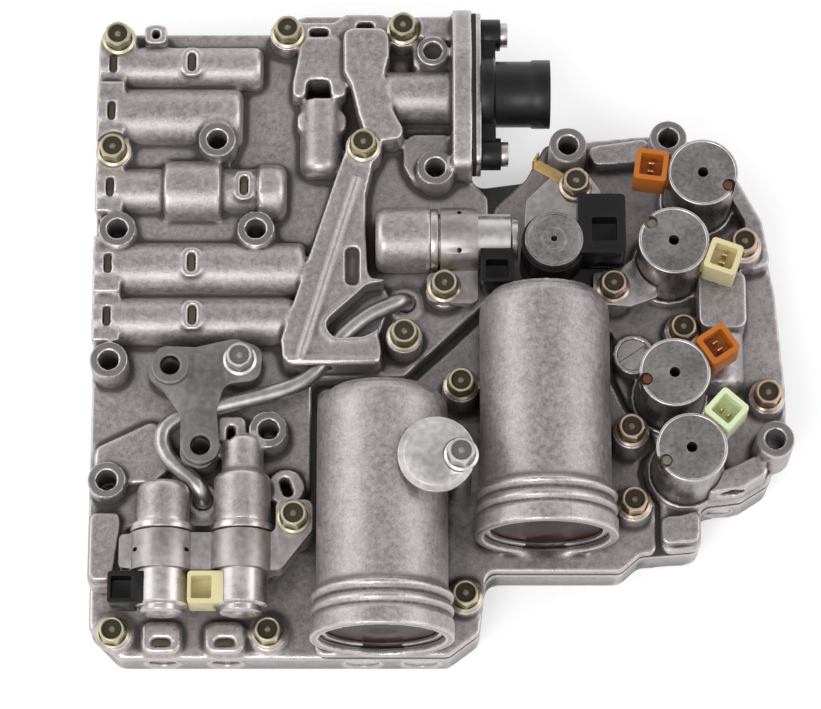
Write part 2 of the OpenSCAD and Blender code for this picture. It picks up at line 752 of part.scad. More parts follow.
module upper_casting() {
  color("gainsboro")
    difference() {
      union() {
        slab(upper_outline, deck_z, web_z, 4);
        upper_ribs();
        upper_crown();
        upper_panel();
        upper_sockets();
        for (p = case_posts)
          post(p, deck_z, deck_z + p.z, case_boss_r);
        for (p = upper_bolts)
          post(p, deck_z, deck_z + p.z, bolt_boss_r);
        for (p = concat(bracket_posts, [bracket_bolt]))
          post(p, deck_z, bracket_z, bolt_boss_r);
        post(single_clamp_bolt, deck_z, deck_z + bolt_boss_h - 4, bolt_boss_r);
        post(twin_clamp_bolt, deck_z, psol_z - 4, bolt_boss_r);
        for (p = tube_ends)
          post(p, deck_z, tube_z - 6.5, tube_seat_r + 3);
      }
      for (i = [0:4])
        valve_cuts(valves[i], slot_top);
      for (p = concat(case_posts, bracket_posts))
        post(p, deck_z - 1, cut_top, case_hole_r);
      for (p = concat(upper_bolts, [bracket_bolt, single_clamp_bolt, twin_clamp_bolt]))
        post(p, deck_z - 1, cut_top, bolt_hole_r);
      for (p = upper_bolts)
        post(p, deck_z + p.z, cut_top, spot_r);
      // Blind hole, window, pocket and slots in the crown
      post(blind_boss, deck_z + boss_h - blind_depth, cut_top, blind_r);
      pad([-48.5, 105], 9, 5.6, deck_z + 4, cut_top, 0.8);
      pad([-29.5, 131.5], 7.2, 3.6, deck_z + 4, cut_top, 1);
      pad([-48.5, 129], 8, 3.6, deck_z + 4, cut_top, 1);
      pad([-82, -42], 3.2, 8, deck_z + 4, cut_top, 1);
      pad([-60, -63], 4, 8, deck_z + 4, cut_top, 1.5, 20);
      pad([-115, 128], 3.2, 4, rib_z, cut_top, 1);
      slab([[-37, 35], [-37, 19], [-31.5, 19], [-31.5, 35]], panel_top - 3, cut_top, 2);
      slab(pocket, pocket_z, cut_top, 5);
      // Solenoid noses
      level_bar([level_psol_x, level_psol_y, psol_z], 180, -1, psol_nose_l, psol_nose_r + fit);
      for (x = front_psol_x)
        level_bar([x, front_psol_y, psol_z], 90, -1, psol_nose_l, psol_nose_r + fit);
      level_bar([level_psol_x, level_psol_y, psol_z], 0, 0, 40, collar_r + 0.4);
      // Seats and tunnel of the steel tube
      for (p = tube_ends)
        post(p, deck_z + 2, cut_top, tube_seat_r);
      bar([-33, 5], [-56, -24.5], tube_z, tube_r + 1);
      bar([-49, -16], [-90, -31], tube_z, tube_r + 1);
    }
}

function acc_section() =
  let (
    r = acc_r,
    m = mouth_band,
    b = bead_l
  )
  concat(
    [[acc_bore_r - 1, 0], [r + bead_h, 0]],
    [[r + bead_h, m - 1], [r + bead_h - 1.2, m]],
    bead(m, b, r, bead_h),
    bead(m + b, b - 1, r, bead_h),
    [for (i = [0:4]) [r - 8 + 8 * cos(22.5 * i), acc_len - 8 + 8 * sin(22.5 * i)]],
    [[acc_bore_r - 1, acc_len]]
  );

module accumulator_tube(m) {
  barrel([m.x, m.y, acc_z], 90, concat([[0, 0]], acc_section(), [[0, acc_len]]));
  // Saddle that carries the tube on the floor
  pad([m.x, m.y + acc_len / 2 + 2], 34, acc_len - 6, deck_z, acc_z - 10, 3);
}

module accumulator_bore(m) {
  level_bar([m.x, m.y, acc_z], 90, -1, acc_len - acc_end_t, acc_bore_r);
  level_bar([m.x, m.y, acc_z], 90, -1, cap_seat, cap_r);
  level_bar([m.x, m.y, acc_z], 90, cap_seat - cap_t - ring_t - 0.2, cap_seat - cap_t, cap_r + 1.2);
}

module accumulator_casting() {
  color("lightgray")
    difference() {
      union() {
        slab(acc_outline, deck_z, floor_z, 4);
        for (m = acc_mouths)
          accumulator_tube(m);
        for (p = acc_bolts)
          post(p, deck_z, deck_z + p.z, bolt_boss_r);
      }
      for (m = acc_mouths)
        accumulator_bore(m);
      for (p = acc_bolts) {
        post(p, deck_z - 1, cut_top, bolt_hole_r);
        post(p, deck_z + p.z, deck_z + p.z + head_h + 1, spot_r);
      }
      post(disc_bolt, deck_z - 1, floor_z + 1, thread_r);
    }
}

module solenoid_casting() {
  color("lightgray")
    difference() {
      union() {
        slab(solenoid_outline, deck_z, floor_z, 4);
        for (p = floor_posts)
          post(p, deck_z, deck_z + boss_h, case_boss_r);
        for (p = floor_bolts)
          post(p, deck_z, deck_z + p.z, bolt_boss_r);
        for (p = keeper_bolts)
          post(p, deck_z, keeper_seat, bolt_boss_r);
        // Valve rib between the solenoids, with its key pad
        barrel([floor_rib_x, floor_rib_y, floor_rib_z], -90, domed(floor_rib_r, floor_rib_depth + 4, 4));
        pad([floor_rib_x, floor_rib_y - 14], 19, 24, deck_z, floor_rib_z + floor_rib_r + 2, 4);
        // Seat of the slotted plug, the front pad and the walls of the edges
        post(slot_plug, deck_z, floor_z + 7, slot_plug_r + 2);
        slab([[88, -84], [103, -83], [103, -70], [97, -72], [88, -73]], deck_z, floor_z + 5, 3);
        slab([[106, -66], [120, -64], [131, -57], [126, -50], [113, -56], [106, -62]],
          deck_z, floor_z + 14, 3);
        slab([[124, 28], [134, 32], [131, 50], [121, 69], [116, 66], [124, 50]], deck_z, floor_z + 8, 3);
        slab([[60, 82], [86, 86], [86, 76], [64, 74]], deck_z, floor_z + 8, 3);
        for (s = shift_solenoids)
          post(s, deck_z, floor_z + 2, can_r + 1.6);
      }
      for (p = floor_posts)
        post(p, deck_z - 1, cut_top, case_hole_r);
      for (p = concat(floor_bolts, keeper_bolts))
        post(p, deck_z - 1, cut_top, bolt_hole_r);
      for (p = floor_bolts)
        post(p, deck_z + p.z, deck_z + p.z + head_h + 1, spot_r);
      valve_cuts(valves[7], floor_rib_r + 8);
      post(slot_plug, floor_z, floor_z + 10, slot_plug_r);
      level_bar([116, -66, floor_z + 8], 90, -5, 14, 4.8);
      for (s = shift_solenoids) {
        post(s, floor_z, floor_z + can_h, can_r + fit);
        post(s, deck_z - 1, floor_z + 1, nozzle_r + nozzle_clear);
      }
      post(black_solenoid, deck_z - 1, floor_z + 1, nozzle_r + nozzle_clear);
    }
}

// Clamps, bracket, tube, keepers and disc

module solenoid_collar(at, direction) {
  level_bar(at, direction, psol_flange_t + collar_gap, psol_flange_t + collar_gap + collar_l,
    collar_r);
}

module twin_solenoid_clamp() {
  from_y = front_psol_y - psol_flange_t - collar_gap;
  to_y = from_y - collar_l;
  middle = (front_psol_x[0] + front_psol_x[1]) / 2;
  color("gainsboro")
    difference() {
      union() {
        for (x = front_psol_x)
          solenoid_collar([x, front_psol_y, psol_z], -90);
        pad([middle, (from_y + to_y) / 2], front_psol_x[1] - front_psol_x[0] - psol_r, collar_l,
          psol_z - 3, psol_z + 6, 1);
        slab([
          [front_psol_x[1] + psol_r - 3, to_y], [front_psol_x[1] + psol_r + 5, to_y],
          [twin_clamp_bolt.x + 7.2, twin_clamp_bolt.y - 5],
          [twin_clamp_bolt.x + 7.2, twin_clamp_bolt.y + 7.2],
          [twin_clamp_bolt.x - 7, twin_clamp_bolt.y + 7.2], [twin_clamp_bolt.x - 7, from_y],
          [front_psol_x[1] + psol_r - 3, from_y]
        ], psol_z - 4, psol_z + 6, 3);
        slab([
          [front_psol_x[0] - psol_r - 6, to_y + 1], [front_psol_x[0] - psol_r + 3, to_y],
          [front_psol_x[0] - psol_r + 3, from_y], [front_psol_x[0] - psol_r - 6, from_y - 1]
        ], psol_z - 4, psol_z + 6, 2);
      }
      for (x = front_psol_x)
        level_bar([x, front_psol_y, psol_z], -90, -1, 40, psol_r + fit);
      post(twin_clamp_bolt, 0, cut_top, bolt_hole_r);
      for (d = [-10, 10])
        post([front_psol_x[0] + d, (from_y + to_y) / 2], psol_z, cut_top, 0.9);
    }
}

module single_solenoid_clamp() {
  from_x = level_psol_x + psol_flange_t + collar_gap;
  foot_z = deck_z + bolt_boss_h - 4;
  color("gainsboro")
    difference() {
      union() {
        solenoid_collar([level_psol_x, level_psol_y, psol_z], 0);
        slab([
          [single_clamp_bolt.x - 7, single_clamp_bolt.y - 6], [from_x + collar_l, single_clamp_bolt.y - 7],
          [from_x + collar_l, level_psol_y], [from_x, level_psol_y],
          [from_x, single_clamp_bolt.y + 6], [single_clamp_bolt.x - 7, single_clamp_bolt.y + 6]
        ], foot_z, foot_z + 4, 3);
        pad([from_x + collar_l / 2, level_psol_y], collar_l, psol_r + 14, foot_z, psol_z + 4, 1);
      }
      level_bar([level_psol_x, level_psol_y, psol_z], 0, -1, 60, psol_r + fit);
      post(single_clamp_bolt, 0, cut_top, bolt_hole_r);
      for (d = [-8, 8])
        post([from_x + collar_l / 2, level_psol_y + d], psol_z, cut_top, 0.9);
    }
}

module hold_down_bracket() {
  a = bracket_posts[0];
  b = bracket_posts[1];
  c = bracket_bolt;
  color("gainsboro")
    difference() {
      union() {
        slab([
          [a.x - 9.5, a.y - 4], [a.x - 5, a.y + 9], [a.x + 10, a.y + 8.4], [c.x - 2, c.y + 9],
          [c.x + 9, c.y + 5], [c.x + 8, c.y - 8], [c.x - 6, c.y - 10], [b.x + 6, b.y + 16],
          [b.x + 7.6, b.y - 2], [b.x + 2, b.y - 9.5], [b.x - 8, b.y - 6], [b.x - 8, b.y + 13],
          [a.x - 3, a.y - 9]
        ], bracket_z, bracket_z + bracket_t, 5);
        for (p = bracket_posts)
          post(p, bracket_z, bracket_z + bracket_t + bracket_collar_h, case_boss_r);
      }
      for (p = bracket_posts)
        post(p, 0, cut_top, case_hole_r);
      post(c, 0, cut_top, bolt_hole_r);
    }
}

module steel_tube() {
  color("lightsteelblue")
    wire([for (p = smooth_route(tube_route, 3)) [p.x, p.y, tube_z + p.z]], tube_r, 12);
}

module retainer_disc() {
  color("silver")
    difference() {
      union() {
        post(disc_at, disc_z, disc_z + disc_t, disc_r);
        post(disc_at, disc_z, disc_z + disc_t + 0.8, disc_r - 2.4);
        // Sleeve that carries the disc on the floor
        post(disc_bolt, floor_z, disc_z + disc_t, disc_sleeve_r);
      }
      post(disc_bolt, floor_z - 1, disc_z + 10, bolt_hole_r);
      post(disc_bolt, disc_z + disc_t, disc_z + 10, flange_d / 2 + 0.3);
    }
}

module rear_keeper_plate() {
  p = keeper_bolts[0];
  color("silver")
    difference() {
      slab([[p.x - 21, p.y - 20], [p.x - 20, p.y - 6], [p.x - 10, p.y + 4], [p.x + 4, p.y + 7],
        [p.x + 10, p.y - 2], [p.x + 12, p.y - 14], [p.x - 4, p.y - 20]],
        keeper_seat, keeper_seat + keeper_t, 3);
      post(black_solenoid, 0, cut_top, black_can_r + 0.5);
      post(p, 0, cut_top, bolt_hole_r);
    }
}

module side_keeper_plate() {
  p = keeper_bolts[1];
  color("silver")
    difference() {
      slab([[p.x - 8, p.y - 7], [p.x + 7, p.y - 8], [p.x + 18, p.y - 4], [p.x + 14, p.y + 16],
        [p.x + 4, p.y + 9], [p.x - 8, p.y + 6]],
        keeper_seat, keeper_seat + keeper_t, 2);
      post(shift_solenoids[1], 0, cut_top, can_r + 0.4);
      post(p, 0, cut_top, bolt_hole_r);
    }
}

module earth_tab() {
  p = keeper_bolts[0];
  z = keeper_seat + keeper_t;
  color("goldenrod")
    difference() {
      union() {
        post(p, z, z + tab_t, bolt_r + 2.4);
        translate([p.x, p.y, z])
          rotate([0, 0, 150])
            translate([bolt_r + 1.6, -2.2, 0])
              cube([14, 4.4, tab_t]);
        translate([p.x, p.y, z])
          rotate([0, 0, 150])
            translate([18.2, -2.2, 0])
              cube([tab_t, 4.4, 9]);
      }
      post(p, 0, cut_top, bolt_hole_r);
    }
}

// Valves

module bore_plugs() {
  color("darkgray") {
    for (v = valves)
      at_valve(v)
        rotate_extrude()
          polygon(spool_section(
            plug_set, plug_end,
            [[key_at - key_t / 2 - key_clear, key_at + key_t / 2 + key_clear]],
            v[4] - spool_clear, neck_r(v)
          ));
    for (i = [0:len(front_plugs) - 1])
      barrel([front_plugs[i].x, front_plug_y[i], base_valve_z], 90,
        spool_section(0.8, front_plug_l, [], front_plugs[i][1] - spool_clear, 1));
    difference() {
      post(slot_plug, floor_z + 0.2, floor_z + 6.4, slot_plug_r - fit);
      pad(slot_plug, 2 * slot_plug_r + 1, 1.8, floor_z + 4.6, floor_z + 8, 0.4, 35);
    }
  }
}

// A key stands in the plug's groove or in a neck of the spool
module retaining_key(v, d, top) {
  key_place(v, d)
    translate([0, 0, neck_r(v) + 0.3])
      linear_extrude(top - neck_r(v) - 0.3)
        polygon(rect(key_t, key_w));
}

function key_top(i) =
  i < 5 ? rib_valves[i][1] + rib_wall - 2.4 : i < 7 ? base_h - base_valve_z + 2.5 : floor_rib_r - 1;

module retaining_keys() {
  color("slategray")
    for (i = [0:len(valves) - 1]) {
      retaining_key(valves[i], key_at, key_top(i));
      if (valves[i][6] > 0)
        retaining_key(valves[i], valves[i][6], key_top(i) + 1.4);
    }
}

module spool(v) {
  to = v[5] - 0.3;
  land = 5;
  key_neck = [v[6] - key_t / 2 - 0.3, v[6] + key_t / 2 + spool_travel + 0.3];
  middle = (spool_from + to) / 2;
  plain = [
    [spool_from + land, middle - land / 2], [middle + land / 2, to - land]
  ];
  necks = v[6] == 0 ? plain
    : key_neck[0] > middle + 8 ? [plain[0], key_neck]
    : [[spool_from + 3, key_neck[0] - 3], key_neck, [key_neck[1] + land, to - land]];
  color("gray")
    at_valve(v)
      rotate_extrude()
        polygon(spool_section(spool_from, to, necks, v[4] - spool_clear, neck_r(v)));
}

module valve_spring(v) {
  w = valve_wire_d / 2;
  color("darkslategray")
    at_valve(v)
      wire(coil(v[4] - w - 0.5, plug_end + w + 0.1, spool_from - w - 0.1, 5, 10), w, 6);
}

// Accumulators

module accumulator_piston(m) {
  color("silver")
    barrel([m.x, m.y, acc_z], 90, concat(
      [[0, piston_to - piston_floor], [piston_r - 4, piston_to - piston_floor]],
      [[piston_r - 4, piston_from], [piston_r, piston_from]],
      [for (s = seal_places) each [
        [piston_r, piston_from + s], [piston_r - seal_depth, piston_from + s],
        [piston_r - seal_depth, piston_from + s + seal_w], [piston_r, piston_from + s + seal_w]
      ]],
      [[piston_r, piston_to], [0, piston_to]]
    ));
}

module piston_seals(m) {
  color("maroon")
    for (s = seal_places)
      translate([m.x, m.y, acc_z])
        rotate([-90, 0, 0])
          translate([0, 0, piston_from + s + seal_clear])
            rotate_extrude()
              translate([piston_r - seal_depth + seal_clear, 0])
                square([seal_depth - seal_clear, seal_w - 2 * seal_clear]);
}

module accumulator_spring(m) {
  w = acc_wire_d / 2;
  color("dimgray")
    translate([m.x, m.y, acc_z])
      rotate([-90, 0, 0])
        wire(coil(piston_r - 7 - w, cap_seat + w + 0.2, piston_to - piston_floor - w - 0.2, 7, 14), w, 6);
}

module accumulator_caps() {
  color("gray")
    for (m = acc_mouths)
      barrel([m.x, m.y, acc_z], 90, [
        [0, cap_seat - cap_t + 1.2], [6, cap_seat - cap_t + 1.2], [9, cap_seat - cap_t],
        [cap_r - fit, cap_seat - cap_t], [cap_r - fit, cap_seat], [stop_r, cap_seat],
        [stop_r, stop_to], [0, stop_to]
      ]);
}

module snap_rings() {
  color("lightgray")
    for (m = acc_mouths)
      translate([m.x, m.y, acc_z])
        rotate([-90, 0, 0])
          rotate([0, 0, 110])
            rotate_extrude(angle = 320)
              translate([cap_r + 0.9 - ring_w, cap_seat - cap_t - ring_t - 0.1])
                square([ring_w, ring_t]);
}

// Solenoids

module shift_can(s) {
  color("gray")
    translate([s.x, s.y, floor_z])
      rotate([0, 0, s[2]])
        difference() {
          union() {
            cylinder(r = can_r, h = can_h);
            translate([0, 0, -nozzle_l])
              cylinder(r = nozzle_r, h = nozzle_l + 1);
          }
          translate([0, 0, can_floor_t])
            cylinder(r = can_r - can_wall, h = can_h - can_floor_t - can_top_t);
          translate([0, 0, can_h - can_top_t - 1])
            cylinder(r = 2.1, h = can_top_t + 2);
          rotate([0, 0, notch_at])
            translate([can_r - 2.2, 0, can_h - notch_depth])
              cylinder(r = notch_r, h = notch_depth + 1);
          translate([can_r - 6, -conn_arm_w / 2 - fit, can_h - conn_h + 2 - fit])
            cube([7, conn_arm_w + 2 * fit, conn_h - 2 - can_top_t + fit]);
          translate([0, 0, -nozzle_l + 4])
            rotate_extrude()
              translate([nozzle_r - 0.8, 0])
                square([2, 2.4]);
        }
}

// Plastic bobbin in the can, with the connector block outside it
module shift_connector(s, colour) {
  color(colour)
    translate([s.x, s.y, floor_z])
      rotate([0, 0, s[2]])
        difference() {
          union() {
            translate([0, 0, can_floor_t + fit])
              cylinder(r = can_r - can_wall - fit, h = can_h - can_floor_t - can_top_t - 2 * fit);
            translate([4, -conn_arm_w / 2, can_h - conn_h + 2])
              cube([can_r + conn_gap - 3, conn_arm_w, conn_h - 2 - can_top_t - fit]);
            translate([conn_at, 0, can_h - conn_h + 1])
              linear_extrude(conn_h)
                polygon(rounded(rect(conn_w, conn_w), 1.5));
            rotate([0, 0, notch_at])
              translate([can_r - 2.8, 0, can_h - can_top_t - 1 + fit])
                cylinder(r = notch_r - 0.8, h = can_top_t + 0.2);
          }
          translate([0, 0, can_floor_t + 4])
            cylinder(r = 2.1, h = can_h);
          translate([conn_at, 0, can_h + 1 - socket_depth])
            linear_extrude(socket_depth + 1)
              polygon(rounded(rect(conn_w - 2 * conn_wall, conn_w - 2 * conn_wall), 0.8));
        }
}

module black_solenoid_can() {
  color("gray")
    translate([black_solenoid.x, black_solenoid.y, floor_z])
      difference() {
        union() {
          cylinder(r = black_can_r, h = black_can_h);
          translate([0, 0, -floor_h])
            cylinder(r = nozzle_r, h = floor_h + 1);
        }
        translate([0, 0, black_can_h - 0.8])
          difference() {
            cylinder(r = black_can_r - 1.4, h = 2);
            translate([0, 0, -1])
              cylinder(r = 4.8, h = 4);
          }
        translate([0, 0, black_can_h - 6])
          cylinder(r = 1.2, h = 10);
      }
}

black_conn = [16, 4];
black_block = [conn_w + 6, conn_w + 12];

module black_solenoid_housing() {
  color("black")
    translate([black_solenoid.x, black_solenoid.y, 0])
      difference() {
        union() {
          slab([[-11, -13], [14, -14], [22, -6], [24, 10], [12, 17], [-8, 15]],
            floor_z, floor_z + 12, 4);
          post([0, 0], floor_z, floor_z + black_can_h - 4, black_can_r + 1.2);
          pad(black_conn + [3, 2.5], black_block.x, black_block.y, floor_z + 4, floor_z + black_can_h, 2);
        }
        post([0, 0], floor_z - 1, cut_top, black_can_r + fit);
        pad([black_conn.x + 4, black_conn.y], conn_w - 3, conn_w - 3,
          floor_z + black_can_h - socket_depth, cut_top, 0.8);
        for (p = keeper_bolts)
          translate([-black_solenoid.x, -black_solenoid.y, 0])
            post(p, 0, cut_top, bolt_boss_r + 0.4);
        // Slots for the two keeper plates
        pad(keeper_bolts[0] - black_solenoid + [-2, -4], 40, 33,
          keeper_seat - keeper_clear, keeper_seat + keeper_t + keeper_clear, 1);
        pad(keeper_bolts[1] - black_solenoid + [6, 3], 30, 27,
          keeper_seat - keeper_clear, keeper_seat + keeper_t + keeper_clear, 1);
      }
}

module pressure_can(at, direction) {
  color("lightgray")
    barrel(at, direction, [
      [0, -psol_nose_l + 0.4], [psol_nose_r - 1, -psol_nose_l + 0.4], [psol_nose_r, -psol_nose_l + 1.4],
      [psol_nose_r, -6], [psol_nose_r - 0.9, -6], [psol_nose_r - 0.9, -3.6], [psol_nose_r, -3.6],
      [psol_nose_r, 0], [psol_flange_r, 0], [psol_flange_r, psol_flange_t],
      [psol_r, psol_flange_t], [psol_r, psol_end - 3], [psol_r - 2.2, psol_end - 2.4],
      [psol_r - 2.2, psol_end], [0, psol_end]
    ]);
}

module pressure_solenoid_cans() {
  pressure_can([level_psol_x, level_psol_y, psol_z], 0);
  for (x = front_psol_x)
    pressure_can([x, front_psol_y, psol_z], -90);
}

// A connector block on the side of a pressure solenoid, with its socket on top
module pressure_connector(at, direction, colour) {
  block_l = 13;
  block_w = conn_w + 4;
  middle = psol_flange_t + collar_gap + collar_l + 1 + block_l / 2;
  low = 2 - conn_w / 2;
  color(colour)
    translate(at)
      rotate([0, 0, direction])
        difference() {
          translate([middle, -psol_r - 1.5, low])
            linear_extrude(conn_w)
              polygon(rounded(rect(block_l, block_w), 1.5));
          translate([middle, -psol_r - 4.6, low + conn_w - socket_depth])
            linear_extrude(socket_depth + 1)
              polygon(rounded(rect(block_l - 2 * conn_wall, conn_w - 5), 0.8));
          rotate([0, 90, 0])
            cylinder(r = psol_r + fit, h = 60);
        }
}

// Harness connector

module flange_sheet(from, t) {
  translate([from, harness_y, harness_z])
    rotate([90, 0, 90])
      linear_extrude(t)
        polygon(rounded([
          [-sheet_half, -sheet_ear], [-harness_r, -sheet_low],
          [harness_r, -sheet_low], [sheet_half, -sheet_ear],
          [sheet_half, sheet_ear], [harness_r, sheet_high],
          [-harness_r, sheet_high], [-sheet_half, sheet_ear]
        ], 4));
}

module harness_gasket() {
  color("black")
    flange_sheet(flange_x, gasket_t);
}

module harness_plate() {
  color("silver")
    flange_sheet(flange_x + gasket_t, flange_plate_t);
}

module harness_shell() {
  color("black")
    difference() {
      union() {
        barrel([harness_x, harness_y, harness_z], 0, [
          [0, 0], [harness_r + 1.6, 0], [harness_r + 1.6, 5], [harness_r - 0.6, 6],
          [harness_r - 0.6, harness_l - 8], [harness_r, harness_l - 7],
          [harness_r, harness_l], [0, harness_l]
        ]);
        for (d = screw_offsets)
          level_bar([harness_x, harness_y + d, harness_z], 0, 0, screw_seat, screw_r + 1.5);
        for (d = [-1, 1])
          translate([harness_x, harness_y + d * 18 - 6, harness_z - 5])
            cube([6, 12, 10]);
      }
      level_bar([harness_x, harness_y, harness_z], 0, socket_from, harness_l + 1, harness_r - harness_wall);
      for (a = pin_angles)
        harness_pin(a, -pin_root, 0, pin_r);
    }
}

// A pin stands in its hole in the floor of the socket
module harness_pin(a, from, to, r) {
  level_bar([harness_x + socket_from, harness_y + pin_circle * cos(a), harness_z + pin_circle * sin(a)],
    0, from, to, r);
}

module harness_pins() {
  color("goldenrod")
    for (a = pin_angles)
      harness_pin(a, -pin_root, pin_l, pin_r);
}

module harness_screws() {
  color("dimgray")
    for (d = screw_offsets)
      difference() {
        level_bar([harness_x, harness_y + d, harness_z], 0, screw_seat, screw_seat + 3, screw_r);
        translate([harness_x + screw_seat + 1.6, harness_y + d - screw_r - 1, harness_z - 0.7])
          cube([3, 2 * screw_r + 2, 1.4]);
      }
}

// Bolts

module flange_bolts() {
  color("darkgoldenrod") {
    for (p = concat(upper_bolts, acc_bolts, floor_bolts))
      flange_bolt(p, deck_z + p.z, thread_z);
    for (p = keeper_bolts)
      flange_bolt(p, keeper_seat + keeper_t + (p == keeper_bolts[0] ? tab_t : 0), thread_z);
    for (p = base_bolts)
      flange_bolt(p, base_h + base_pad_h, thread_z);
    flange_bolt(single_clamp_bolt, deck_z + bolt_boss_h, thread_z);
    flange_bolt(twin_clamp_bolt, psol_z + 6, thread_z);
  }
}

module steel_bolts() {
  color("lightgray") {
    flange_bolt(bracket_bolt, bracket_z + bracket_t, thread_z);
    flange_bolt(disc_bolt, disc_z + disc_t, deck_z + 0.5);
  }
}

base_casting();
separator_plate();
upper_casting();
accumulator_casting();
solenoid_casting();
twin_solenoid_clamp();
single_solenoid_clamp();
hold_down_bracket();
steel_tube();
retainer_disc();
rear_keeper_plate();
side_keeper_plate();
earth_tab();
bore_plugs();
retaining_keys();
flange_bolts();
steel_bolts();
accumulator_caps();
snap_rings();
for (i = [0:len(valves) - 1]) {
  spool(valves[i]);
  valve_spring(valves[i]);
}
for (i = [0, 1]) {
  accumulator_piston(acc_mouths[i]);
  piston_seals(acc_mouths[i]);
  accumulator_spring(acc_mouths[i]);
}
for (i = [0:len(shift_solenoids) - 1]) {
  shift_can(shift_solenoids[i]);
  shift_connector(shift_solenoids[i], solenoid_colours[i]);
}
black_solenoid_can();
black_solenoid_housing();
pressure_solenoid_cans();
pressure_connector([level_psol_x, level_psol_y, psol_z], 0, "black");  // level_solenoid_connector
for (i = [0, 1]) {
  pressure_connector([front_psol_x[i], front_psol_y, psol_z], -90, front_psol_colours[i]);
}
harness_gasket();
harness_plate();
harness_shell();
harness_pins();
harness_screws();
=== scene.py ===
"""Dresses a packed transmission valve body: cast skins, turned seats, plated bolts, solenoids,
connectors and a plain stage. Laid out as an add-on and run as a script."""

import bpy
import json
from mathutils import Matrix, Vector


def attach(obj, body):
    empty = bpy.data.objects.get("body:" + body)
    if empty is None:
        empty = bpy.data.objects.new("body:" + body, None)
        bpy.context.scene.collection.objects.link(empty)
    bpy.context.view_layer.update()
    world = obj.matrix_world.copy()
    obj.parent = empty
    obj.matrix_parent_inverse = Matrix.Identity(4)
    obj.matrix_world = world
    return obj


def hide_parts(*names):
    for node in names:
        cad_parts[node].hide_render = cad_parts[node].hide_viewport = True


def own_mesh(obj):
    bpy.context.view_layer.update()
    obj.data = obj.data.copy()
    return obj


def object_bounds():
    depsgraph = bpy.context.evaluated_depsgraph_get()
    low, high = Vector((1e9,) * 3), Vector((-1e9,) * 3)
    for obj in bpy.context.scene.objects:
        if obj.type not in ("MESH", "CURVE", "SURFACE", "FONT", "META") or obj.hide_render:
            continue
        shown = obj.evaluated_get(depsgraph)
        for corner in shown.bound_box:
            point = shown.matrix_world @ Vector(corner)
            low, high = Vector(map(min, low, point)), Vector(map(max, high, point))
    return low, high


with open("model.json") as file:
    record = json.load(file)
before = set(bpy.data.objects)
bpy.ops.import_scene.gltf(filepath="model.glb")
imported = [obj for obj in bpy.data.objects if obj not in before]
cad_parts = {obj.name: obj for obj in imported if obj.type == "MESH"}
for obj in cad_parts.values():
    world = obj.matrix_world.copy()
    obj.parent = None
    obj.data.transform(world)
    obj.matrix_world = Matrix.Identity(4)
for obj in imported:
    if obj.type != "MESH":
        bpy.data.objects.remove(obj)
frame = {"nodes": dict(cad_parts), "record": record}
CAD_BOX = [list(corner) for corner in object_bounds()]

import json
import math

import bmesh
import bpy
import numpy as np
from bpy.props import FloatProperty, FloatVectorProperty, IntProperty, PointerProperty
from mathutils import Vector

bl_info = {
    "name": "Valve body dressing",
    "version": (1, 0, 0),
    "blender": (4, 5, 0),
    "location": "View3D > Sidebar > Valve body",
    "description": "Gives a transmission valve body its cast, turned, plated and moulded surfaces",
    "category": "Object",
}

MM = 0.001
NODES = frame["nodes"]
SLOTS = {row["node"]: row["material_slot"] for row in frame["record"]["subparts"]}
TURN = 2 * math.pi

# Distances, in metres, under which points merge: in a grid and in a node's mesh
POLE_GAP, SEAM_GAP = 1e-7, 1e-6
# Angles, in degrees: up to the first a bevelled node's faces join, from the second its edges round
FLAT_ANGLE, EDGE_ANGLE = 1, 32
# Cast skins: share of a move made in one pass, and the lift, in metres, that counts as one hollow
SKIN_STEP, HOLLOW_LIFT = 0.6, 0.45 * MM

# Turned tops of the case bolt bosses, in millimetres: x, y, height of the face
CASE_SEATS = (
    (-89, 80.5, 45), (-128.5, 42.5, 44), (-73, 42.5, 44), (-130.5, -13, 45), (-67, -41.5, 44),
    (-130.5, -61, 40), (-1, 68.4, 45), (52.5, 78, 45), (93, 81, 45), (132.5, -45.7, 45),
)
CASE_HOLE_R, CASE_BOSS_R = 4.0, 7.6
BRACKET_SEATS = ((-106, -16, 47.4), (-93.5, -49, 47.4))
BLIND_SEAT, BLIND_HOLE_R, BLIND_BOSS_R = (-2, 119, 45), 3.7, 6.4

# Accumulator mouths and the tube's route, in millimetres, with the steps between its points
MOUTHS = ((-22, -127.5), (42, -87))
ACC_Z, ACC_R, CAP_R, BEAD_H = 47.8, 25.7, 24.4, 2.4
TUBE_Z, TUBE_R, TUBE_STEPS = 38, 3.5, 6
TUBE_ROUTE = (
    (-13, 15, -16), (-13, 15, -10), (-13, 15, -5), (-15, 14, -1), (-20, 11.6, 0), (-28, 7.5, 0),
    (-37, 0, 0), (-44, -9, 0), (-51, -18, 0), (-60, -23, 0), (-74, -27, 0), (-88, -30.5, 0),
    (-100, -34, 0), (-107.5, -39, 0), (-109, -45.5, 0), (-106.5, -51.5, 0), (-102.5, -55.5, 0),
    (-98, -59.5, 0), (-94, -64, -1), (-93, -67, -5), (-93, -67, -10), (-93, -67, -16),
)

# Flange bolts: radius of the shank and foot of the hexagon, in millimetres, points round a ring,
# and radians that each head is turned on from the last
SHANK_R, HEXAGON_FOOT, BOLT_SIDES, BOLT_TURN = 3, 1.9, 72, 2.4

# Shift solenoids: x and y in millimetres, turn in degrees, finish of the connector
SHIFT_SOLENOIDS = {
    "a": (105.4, 60.6, 172, "orange_plastic"), "b": (93.2, 31.9, -20, "cream_plastic"),
    "c": (92.4, -22.9, 34, "orange_plastic"), "d": (98.4, -53.5, 48, "green_plastic"),
}
# Socket blades, in millimetres: distance from the can's axis, foot, places to its sides, size
SOCKET_REACH, BLADE_FOOT, BLADE_SIDES, BLADE_SIZE = 20.7, 52.6, (-1.7, 1.7), (2.2, 0.8, 5.6)
